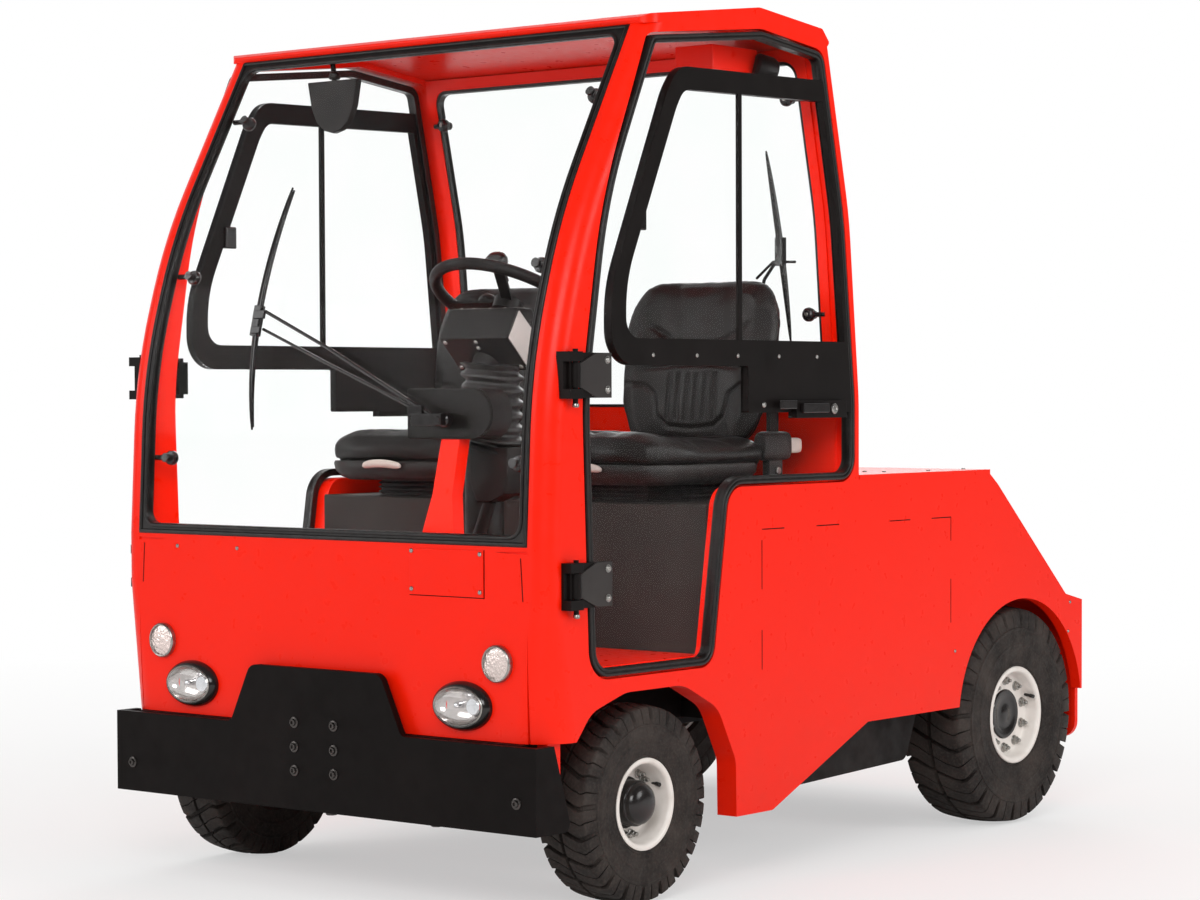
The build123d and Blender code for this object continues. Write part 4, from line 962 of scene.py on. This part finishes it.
def wheel_fittings():
    """White dishes, black hubs, bright nuts and the valves of the four wheels."""
    nut_pairs, even_turns = (39, 55, -96, -78, 152, 168), [16 + 36 * k for k in range(10)]
    ends = (
        ("front", FRONT_DISH, FRONT_HUB, nut_pairs, 75, 607, 8.0, 96),
        ("rear", REAR_DISH, REAR_HUB, even_turns, 91, 626, 10.5, 113),
    )
    for end, dish, hub, angles, nut_circle, face, size, valve_radius in ends:
        for hand, outward in SIDES:
            centre = middle(f"{end}_tyre_{hand}")
            y, z = centre.y - AXLE_Y, centre.z
            body, out = f"{end}_wheel_{hand}", Vector((outward, 0, 0))
            Shape().turned(dish, (0, y, z), out, 96, closed=True).piece(
                f"{end}_dish_{hand}", "rim_white", RIM, body=body, sharp=50, replaces=(f"{end}_rim_{hand}",))
            Shape().turned(hub, (0, y, z), out, 64).piece(
                f"{end}_hub_{hand}", "axle_black", GLOSSY, body=body, sharp=40)
            nuts = Shape()
            for degrees in angles:
                c, s = math.cos(math.radians(degrees)), math.sin(math.radians(degrees))
                spot = Vector((outward * face, y + nut_circle * c, z + nut_circle * s))
                nuts.turned([(size + 3, 0), (size + 3, 2), (size + 1, 3)], spot, out, 24)
                nuts.hexagon(spot + out * 3, out, size, 10)
                nuts.turned([(5, 12), (5, 19), (4, 21)], spot, out, 16)
            nuts.piece(f"{end}_nuts_{hand}", "hinge_black", STEEL, body=body, bevel=0.8, sharp=30)
            foot = Vector((outward * (face + 4), y + valve_radius * 0.9, z + valve_radius * 0.4))
            valve = Shape().rod(foot, foot + Vector((outward * 26, -6, -3)), 4, 16)
            cap = foot + Vector((outward * 20, -5, -2)), foot + Vector((outward * 32, -7.5, -3.7))
            valve.rod(*cap, 5.2, 16)
            valve.piece(f"{end}_valve_{hand}", "tyre_black", GLOSSY, body=body, sharp=40)


# --- lamps -----------------------------------------------------------------------------

HEADLAMP_X, HEADLAMP_Z = 436, 471
INDICATOR_X, INDICATOR_Z = 540, 571
TAIL_LAMP_X, TAIL_LAMP_Z = 535, 505
# Outlines as (half width, half height, y).
BEZEL = [
    (86, 56, -366), (86, 56, -369), (84, 54.5, -375), (80, 51, -381), (77, 48.5, -384.5),
    (75, 46.5, -386), (73, 44.5, -385.5), (72, 43.5, -383), (71, 43, -367),
]
TRIM = [
    (73.5, 45.2, -383), (73.5, 45.2, -386.5), (71.8, 43.6, -388), (69.6, 41.8, -386.8), (69.4, 41.6, -383),
]
BOWL = [
    (70.5, 42.8, -358), (70.5, 42.8, -384), (69, 41.2, -384), (66, 39.5, -378), (60, 35.5, -371),
    (52, 30, -366), (40, 23, -362.5), (26, 15, -360.5), (1, 0.6, -360),
]
LAMP_GLASS = [
    (70.5, 42.3, -385), (68, 40.8, -388.4), (58, 34.6, -391.6), (42, 25, -394.2), (22, 13, -395.7),
    (1, 0.6, -396.2), (1, 0.6, -394.4), (22, 13, -393.9), (42, 25, -392.4), (58, 34.6, -389.8),
    (67, 40, -386.8), (69.5, 41.6, -384.6),
]
# Profiles as (radius, height).
INDICATOR_RING = [(42, 0), (42, 8), (40.5, 11), (38.5, 12.5), (37, 12), (36.5, 9), (36.5, 0)]
INDICATOR_DOT = [(36.6, 0), (36.6, 7.5), (35.5, 8), (0.6, 8)]
INDICATOR_DOME = [
    (36.8, 9), (35, 11.2), (28, 13), (18, 14.2), (0.6, 14.8), (0.6, 13.2), (18, 12.6), (28, 11.4),
    (34, 9.8), (36, 8.4),
]


def front_lamps():
    """Oval headlamps in black bezels, and round indicators above and outside them."""
    for name, slot, look, outline, closed, replaces in (
        ("headlamp_bezels", "plastic_black", GLOSSY, BEZEL, True, ("headlamps",)),
        ("headlamp_trims", "headlamp_clear", STEEL, TRIM, True, ()),
        ("headlamp_reflectors", "headlamp_clear", REFLECTOR, BOWL, False, ()),
        ("headlamp_lenses", "headlamp_clear", LENS, LAMP_GLASS, True, ()),
    ):
        shape = Shape()
        for side in (1, -1):
            rings = []
            for wide, high, y in outline:
                rings.append(upright_ring(side * HEADLAMP_X, y, HEADLAMP_Z, wide, high, circle(64)))
            shape.skin(rings, closed)
        shape.piece(name, slot, look, sharp=40, replaces=replaces)
    bulbs = Shape()
    for side in (1, -1):
        x, z = side * HEADLAMP_X, HEADLAMP_Z
        bulbs.turned([(8, 0), (8, 9), (6, 15), (3, 19), (0.6, 20)], (x - 14, -361, z + 2), AHEAD, 24)
        bulbs.turned([(19, 0), (19, 2), (17, 4), (0.6, 4.5)], (x + 30, -367, z), AHEAD)
    bulbs.piece("headlamp_bulbs", "headlamp_clear", CHROME, sharp=40)
    for name, look, profile, sides, closed, replaces in (
        ("indicator_rings", STEEL, INDICATOR_RING, 64, True, ("indicators",)),
        ("indicator_reflectors", SPARKLE, INDICATOR_DOT, 48, False, ()),
        ("indicator_lenses", LENS, INDICATOR_DOME, 64, True, ()),
    ):
        shape = Shape()
        for side in (1, -1):
            shape.turned(profile, (side * INDICATOR_X, BODY_FRONT, INDICATOR_Z), AHEAD, sides, closed)
        shape.piece(name, "indicator_clear", look, sharp=40, replaces=replaces)


def rear_lamps():
    """Tail lamps: a black case and a ribbed red lens."""
    cases, lenses = Shape(), Shape()
    for side in (1, -1):
        x = side * TAIL_LAMP_X
        face = [(-65, -35), (65, -35), (65, 35), (-65, 35)]
        cases.prism(face, 12, upright(REAR_FACE, x, TAIL_LAMP_Z))
        ribs = []
        for k in range(27):
            u = -62 + 124 * k / 26
            depth = 25 - 5 * (abs(u) / 62) ** 4 - (0.9 if k % 2 else 0)
            corners = ((12, -32), (depth, -30), (depth, 30), (12, 32))
            ribs.append([Vector((x + u, REAR_FACE + out, TAIL_LAMP_Z + up)) for out, up in corners])
        lenses.skin(ribs)
    cases.piece("tail_lamp_cases", "plastic_black", PLASTIC, bevel=3, replaces=("tail_lamps",))
    lenses.piece("tail_lamp_lenses", "tail_lamp_red", LAMP_RED, bevel=0.6)


# --- body fittings ---------------------------------------------------------------------


def line_on(shape, points, normal, width, height):
    """A thin strip along points on a flat face, sunk into it by a millimetre."""
    normal = Vector(normal)
    for a, b in zip(points, points[1:]):
        a, b = Vector(a), Vector(b)
        run = (b - a).normalized()
        side = run.cross(normal) * width / 2
        low, high = -normal * 1.0, normal * height
        ends = []
        for point in (a - run * width / 2, b + run * width / 2):
            ends.append([point - side + low, point + side + low, point + side + high, point - side + high])
        shape.skin(ends)


def body_fittings():
    """Bumper bolts, the inspection cover, screws of the body, dark strips of painted shade along each slit
    of its bent sheets, and a painted shadow along the inspection cover's outer and lower edges.
    """
    bolts = Shape()
    for x, z in [(x, z) for x in (-63.5, 63.5) for z in (404, 347, 291.5)] + [(619, 270), (-619, 270)]:
        spot = (x, BUMPER_FRONT, z)
        bolts.turned([(13, 0), (13, 1.6), (12, 2.2)], spot, AHEAD)
        bolts.turned([(8.5, 2), (8.5, 6), (7.2, 8), (4.4, 8.2), (4.2, 4.5), (0.5, 4.3)], spot, AHEAD, 24)
    bolts.piece("bumper_bolts", "bumper_black", DARK_STEEL, sharp=35)

    cover = Shape().block((277, 498), (COVER_FRONT, BODY_FRONT), (715, 820))
    cover.piece("inspection_cover", "body_red", RED, bevel=1.0)
    screws = Shape()
    for x, z in ((283, 814), (489, 812), (283, 728), (489, 727)):
        screws.dome((x, COVER_FRONT, z), AHEAD, 5.5, 3.5)
    for x in (-489, -283):
        screws.dome((x, BODY_FRONT, 802), AHEAD, 5, 3)
    deck_spots = [(x, 1073) for x in (-600, -540, -347, 347, 540, 600)]
    deck_spots += [(x, y) for x in (-620, 620) for y in (905, 1250, 1420)]
    for x, y in deck_spots:
        screws.dome((x, y, DECK_TOP), UP, 6, 3.5)
    for side in (1, -1):
        for y, z in ((1871, 586), (1861, 506), (1282, 491)):
            screws.dome((side * BODY_HALF, y, z), (side, 0, 0), 4.5, 3)
    screws.piece("body_screws", "hinge_black", STEEL)

    # Painted shade: dark strips along each slit of the bent sheets.
    slit_shades = Shape()
    side_lines = (
        [(428, 815), (428, 700)], [(428, 600), (428, 508)], [(430, 842), (518, 842)],
        [(656, 842), (750, 842)], [(977, 842), (1069, 842)],
        [(1172, 842), (1262, 842), (1262, 782)], [(1262, 680), (1262, 568)],
    )
    for side in (1, -1):
        for line in side_lines:
            line_on(slit_shades, [(side * BODY_HALF, y, z) for y, z in line], (side, 0, 0), 2.4, 0.35)
        if side > 0:
            # Painted shadow that the inspection cover casts along its outer and lower edges.
            corner = [(499.5, BODY_FRONT, 821), (499.5, BODY_FRONT, 714), (276, BODY_FRONT, 714)]
            line_on(slit_shades, corner, AHEAD, 2.0, 0.4)
        line_on(slit_shades, [(side * 606, BODY_FRONT, 805), (side * 612, BODY_FRONT, 712)], AHEAD, 2.6, 0.35)
    slit_shades.piece("bend_slit_shades", "chassis_black", SLIT_SHADE)


# --- rubber beads ----------------------------------------------------------------------


def node_mesh(node):
    """A CAD node with its corners merged, in millimetres from the front axle."""
    mesh = bmesh.new()
    mesh.from_mesh(NODES[node].data)
    mesh.transform(NODES[node].matrix_world)
    mesh.transform(FROM_FRAME)
    bmesh.ops.remove_doubles(mesh, verts=mesh.verts, dist=0.05)
    return mesh


def rims_of(node, facing):
    """Loops of (point, normal) round the faces of a node that look the given way, longest first."""
    mesh = node_mesh(node)
    facing = Vector(facing).normalized()
    chosen = {face for face in mesh.faces if face.normal.dot(facing) > 0.55}
    border = [edge for edge in mesh.edges if sum(face in chosen for face in edge.link_faces) == 1]
    left, loops = dict.fromkeys(border), []
    while left:
        edge = next(iter(left))
        del left[edge]
        loop, vert = [edge.verts[0]], edge.verts[1]
        while vert != loop[0]:
            loop.append(vert)
            onward = [edge for edge in vert.link_edges if edge in left]
            if not onward:
                break
            del left[onward[0]]
            vert = onward[0].other_vert(vert)
        rows = []
        for vert in loop:
            normals = [face.normal for face in vert.link_faces if face in chosen]
            rows.append((vert.co.copy(), sum(normals, Vector()).normalized()))
        loops.append(rows)
    mesh.free()

    def length(rows):
        return sum((b[0] - a[0]).length for a, b in zip(rows, rows[1:] + rows[:1]))

    return sorted(loops, key=length, reverse=True)


def even(rows, step):
    """Rows resampled along their closed line."""
    closed = rows + rows[:1]
    marks = [0.0]
    for a, b in zip(closed, closed[1:]):
        marks.append(marks[-1] + (b[0] - a[0]).length)
    count = max(12, round(marks[-1] / step))
    made, place = [], 0
    for k in range(count):
        want = marks[-1] * k / count
        while marks[place + 1] < want:
            place += 1
        share = (want - marks[place]) / max(1e-6, marks[place + 1] - marks[place])
        point = closed[place][0].lerp(closed[place + 1][0], share)
        made.append((point, closed[place][1].lerp(closed[place + 1][1], share).normalized()))
    return made


def bead(shape, rows, inset, lift, wide, high):
    """A rounded bead along a loop: inset towards its middle, or away from it below 0."""
    rows = even(rows, 9.0)
    centre = sum((point for point, _ in rows), Vector()) / len(rows)
    rings = []
    for k, (point, normal) in enumerate(rows):
        before, after = rows[k - 1][0], rows[(k + 1) % len(rows)][0]
        side = normal.cross((after - before).normalized()).normalized()
        if k == 0:
            turn = 1 if side.dot(centre - point) > 0 else -1
        side *= turn
        base = point + side * inset + normal * lift
        rings.append([base + side * wide * c + normal * high * s for c, s in circle(10)])
    shape.skin(rings, closed=True)


def rubber_beads():
    """The two lips of each door seal and of the windscreen's seal."""
    for hand, outward in SIDES:
        lips = Shape()
        outer, inner = rims_of(f"door_seal_{hand}", (outward, 0, 0))[:2]
        bead(lips, outer, 4.5, 0.6, 4.0, 3.4)
        bead(lips, inner, -4.5, 0.2, 3.6, 3.0)
        lips.piece(f"door_seal_lips_{hand}", "seal_rubber", SEAL, body=f"door_{hand}", sharp=70)
    lips = Shape()
    outer, inner = rims_of("windscreen_seal", (0, -1, 0.2))[:2]
    bead(lips, outer, 6.0, 0.6, 5.0, 3.6)
    bead(lips, inner, -5.0, 0.4, 4.4, 3.4)
    lips.piece("windscreen_seal_lips", "seal_rubber", SEAL, sharp=70)


# --- doors, wipers, clamps, mirror and underside ----------------------------------------


def door_fittings():
    """Grey hinge plates with domed bolts, rivets along the window frame and the latch's screws."""
    for hand, outward in SIDES:
        plates, bolts, fillers, pull = (Shape() for _ in range(4))
        door, out = f"door_{hand}", (outward, 0, 0)
        for z in HINGE_ROWS:
            face = [(-157, z - 50), (-157, z + 50), (-212, z + 49), (-262, z + 28), (-291, z + 28),
                    (-291, z - 28), (-262, z - 28), (-212, z - 49)]
            plates.skin([[Vector((outward * x, y, up)) for y, up in face] for x in (690, 696.5)])
            for up in (z + 34, z - 32):
                bolts.turned([(9, 0), (9, 1.4)], (outward * 696, -172, up), out, 24)
                bolts.dome((outward * 697, -172, up), out, 7.5, 5)
            bolts.turned([(7, 0), (8, 2), (8, 7), (6, 9)], (outward * 698, -286, z - 62), DOWN, 24)
            fillers.block((outward * 682.4, outward * 698), (-305, -298), (z - 31, z + 31))
        fillers.piece(f"hinge_fillers_{hand}", "hinge_black", FRAME, bevel=0.8)
        plates.piece(f"hinge_plates_{hand}", "hinge_black", HINGE, body=door, bevel=1.2)
        for y in (-25, 138, 296, 460, 617):
            bolts.dome((outward * 710, y, 1254), out, 5, 2.6)
        bolts.dome((outward * 704, 407, 1139), out, 7, 4)
        keyhole = [(13, 0), (13, 3), (11, 5), (6, 5.4), (5, 3.6), (0.6, 3.6)]
        bolts.turned(keyhole, (outward * 701, 702, 1128), out, 24)
        bolts.piece(f"door_bolts_{hand}", "hinge_black", STEEL, body=door, sharp=35)
        pull.block((outward * 701, outward * 713), (560, 668), (1118, 1142))
        pull.block((outward * 701, outward * 708), (470, 540), (1128, 1150))
        pull.block((outward * 656, outward * 672), (-34, 2), (1537, 1592))
        pull.piece(f"door_pull_{hand}", "frame_black", GLOSSY, body=door, bevel=3)


def wiper_sets():
    """Front pantograph wiper and rear wiper with their tapering blades, carriers and clevises."""
    shape = Shape()

    def blade(a, b, c, wide):
        """A blade bent through three points, thickest in its middle."""
        a, b, c, points = Vector(a), Vector(b), Vector(c), []
        for k in range(21):
            t = k / 20
            points.append(a * (1 - t) * (1 - 2 * t) + b * 4 * t * (1 - t) + c * t * (2 * t - 1))
        shape.hose(points, lambda t: 2.4 + wide * math.sin(math.pi * t) ** 0.7, 12)

    blade((-218, -377, 1084), (-236, -333, 1363), (-240, -213, 1663), 5.2)
    blade((-218, -373, 1090), (-236, -328, 1363), (-240, -208, 1657), 2.6)
    tilt = Matrix.Translation((-236, -334, 1356)) @ Matrix.Rotation(math.radians(-14), 4, "X")
    shape.block((-11, 11), (-9, 7), (-52, 22), tilt)
    shape.block((-6, 30), (-14, -6), (-12, 8), tilt)
    shape.block((-6, 24), (-14, -6), (-48, -32), tilt)
    shape.hose([(362, -378, 1117), (200, -364, 1188), (0, -346, 1276), (-210, -338, 1364)], 4.2, 12)
    shape.hose([(312, -378, 1130), (180, -370, 1180), (0, -356, 1243), (-214, -342, 1322)], 3.6, 12)
    shape.block((300, 372), (-386, -371), (1096, 1124))
    shape.block((286, 330), (-384, -372), (1120, 1142))
    shape.turned([(17, 0), (17, 16), (13, 20), (9, 24), (9, 38)], (380, -352, 1110), AHEAD, 24)
    shape.block((366, 392), (-388, -370), (1098, 1124))
    blade((467, 848, 1295), (446, 832, 1540), (418, 810, 1778), 6.5)
    shape.block((434, 458), (824, 842), (1488, 1560))
    shape.hose([(330, 846, 1180), (352, 842, 1330), (392, 838, 1455), (440, 836, 1512)], 4.6, 12)
    shape.hose([(364, 842, 1458), (418, 840, 1499), (489, 838, 1497)], 3.6, 12)
    shape.turned([(15, 0), (15, 14), (9, 20)], (330, 832, 1180), ASTERN, 24)
    shape.piece("wiper_sets", "plastic_black", GLOSSY, bevel=1.2, sharp=45, replaces=("wipers",))


def solids_of(node):
    """The middle of each separate solid of a node."""
    mesh = node_mesh(node)
    left, centres = dict.fromkeys(mesh.verts), []
    while left:
        stack, points = [next(iter(left))], []
        while stack:
            vert = stack.pop()
            if vert in left:
                del left[vert]
                points.append(vert.co.copy())
                stack += [edge.other_vert(vert) for edge in vert.link_edges]
        low, high = (Vector([pick(p[i] for p in points) for i in range(3)]) for pick in (min, max))
        centres.append((low + high) / 2)
    mesh.free()
    return centres


def clamp_knobs():
    """Round knobs on short stalks that hold the fixed panes."""
    shape, dots = Shape(), Shape()
    half_deep, in_front, low_row, middle_row = 16, 300, 1200, 1600
    for centre in solids_of("glass_clamps"):
        lean, way = 0, -1
        if centre.y < in_front:
            lean, way = (-0.06 if centre.z < low_row else -0.25 if centre.z < middle_row else -0.55), 1
        axis = Vector((0, 1, lean)).normalized() * way
        foot = centre - axis * half_deep
        shape.turned([(11, 0), (11, 6), (8, 8), (8, 16)], foot, axis, 24)
        knob = [(9, 14), (16, 16), (18, 20), (18, 28), (15, 33), (8, 35), (0.6, 35.5)]
        shape.turned(knob, foot, axis, 28)
        start = foot + axis * 12
        shape.rod(start, start + Vector((math.copysign(42, centre.x), 0, 0)), 6.5, 16)
        dots.turned([(5, 35), (5, 36.4), (4, 37), (0.5, 37)], foot, axis, 16)
    shape.piece("clamp_knobs", "plastic_black", GLOSSY, sharp=45, replaces=("glass_clamps",))
    dots.piece("clamp_bolts", "hinge_black", STEEL, sharp=45)


def mirror():
    """The mirror that hangs from the roof, as a shell and its glass."""
    face = [(-435, 1945), (-265, 1945), (-278, 1880), (-296, 1842), (-322, 1822), (-350, 1815), (-378, 1822),
            (-404, 1842), (-422, 1880)]
    shell = Shape().prism(face, 20, upright(36))
    shell.hose([(-350, 46, 1940), (-350, 44, 1962), (-352, 42, 1985), (-350, 42, 2005)], 6.5, 16)
    shell.turned([(13, 0), (15, 6), (13, 16), (9, 20)], (-350, 46, 1948), UP, 24)
    shell.piece("mirror_shell", "plastic_black", PLASTIC, bevel=5, replaces=("mirror_shade",))
    inner = [(-350 + (x + 350) * 0.9, 1888 + (z - 1888) * 0.9) for x, z in face]
    glass = Shape().prism(inner, 1.2, upright(56))
    glass.piece("mirror_glass", "headlamp_clear", CHROME, bevel=0.4)


def underside():
    """The strip that closes the bumper's top, and two bolts below the front."""
    strip = Shape().block((-618, 618), (-380, -350), (372, 396))
    strip.piece("bumper_top_strip", "bumper_black", BUMPER, bevel=1.5)
    bolts = Shape()
    for x, y in ((-31, -310), (293, -300)):
        bolts.rod((x, y, 300), (x, y, 190), 9)
        bolts.hexagon((x, y, 196), DOWN, 15, 16)
    bolts.piece("underside_bolts", "hinge_black", DARK_STEEL, bevel=1)


for build in (
    seats, column, dash, seat_fittings, roof_inside, wheel_fittings, front_lamps, rear_lamps,
    body_fittings, rubber_beads, door_fittings, wiper_sets, clamp_knobs, mirror, underside,
):
    build()
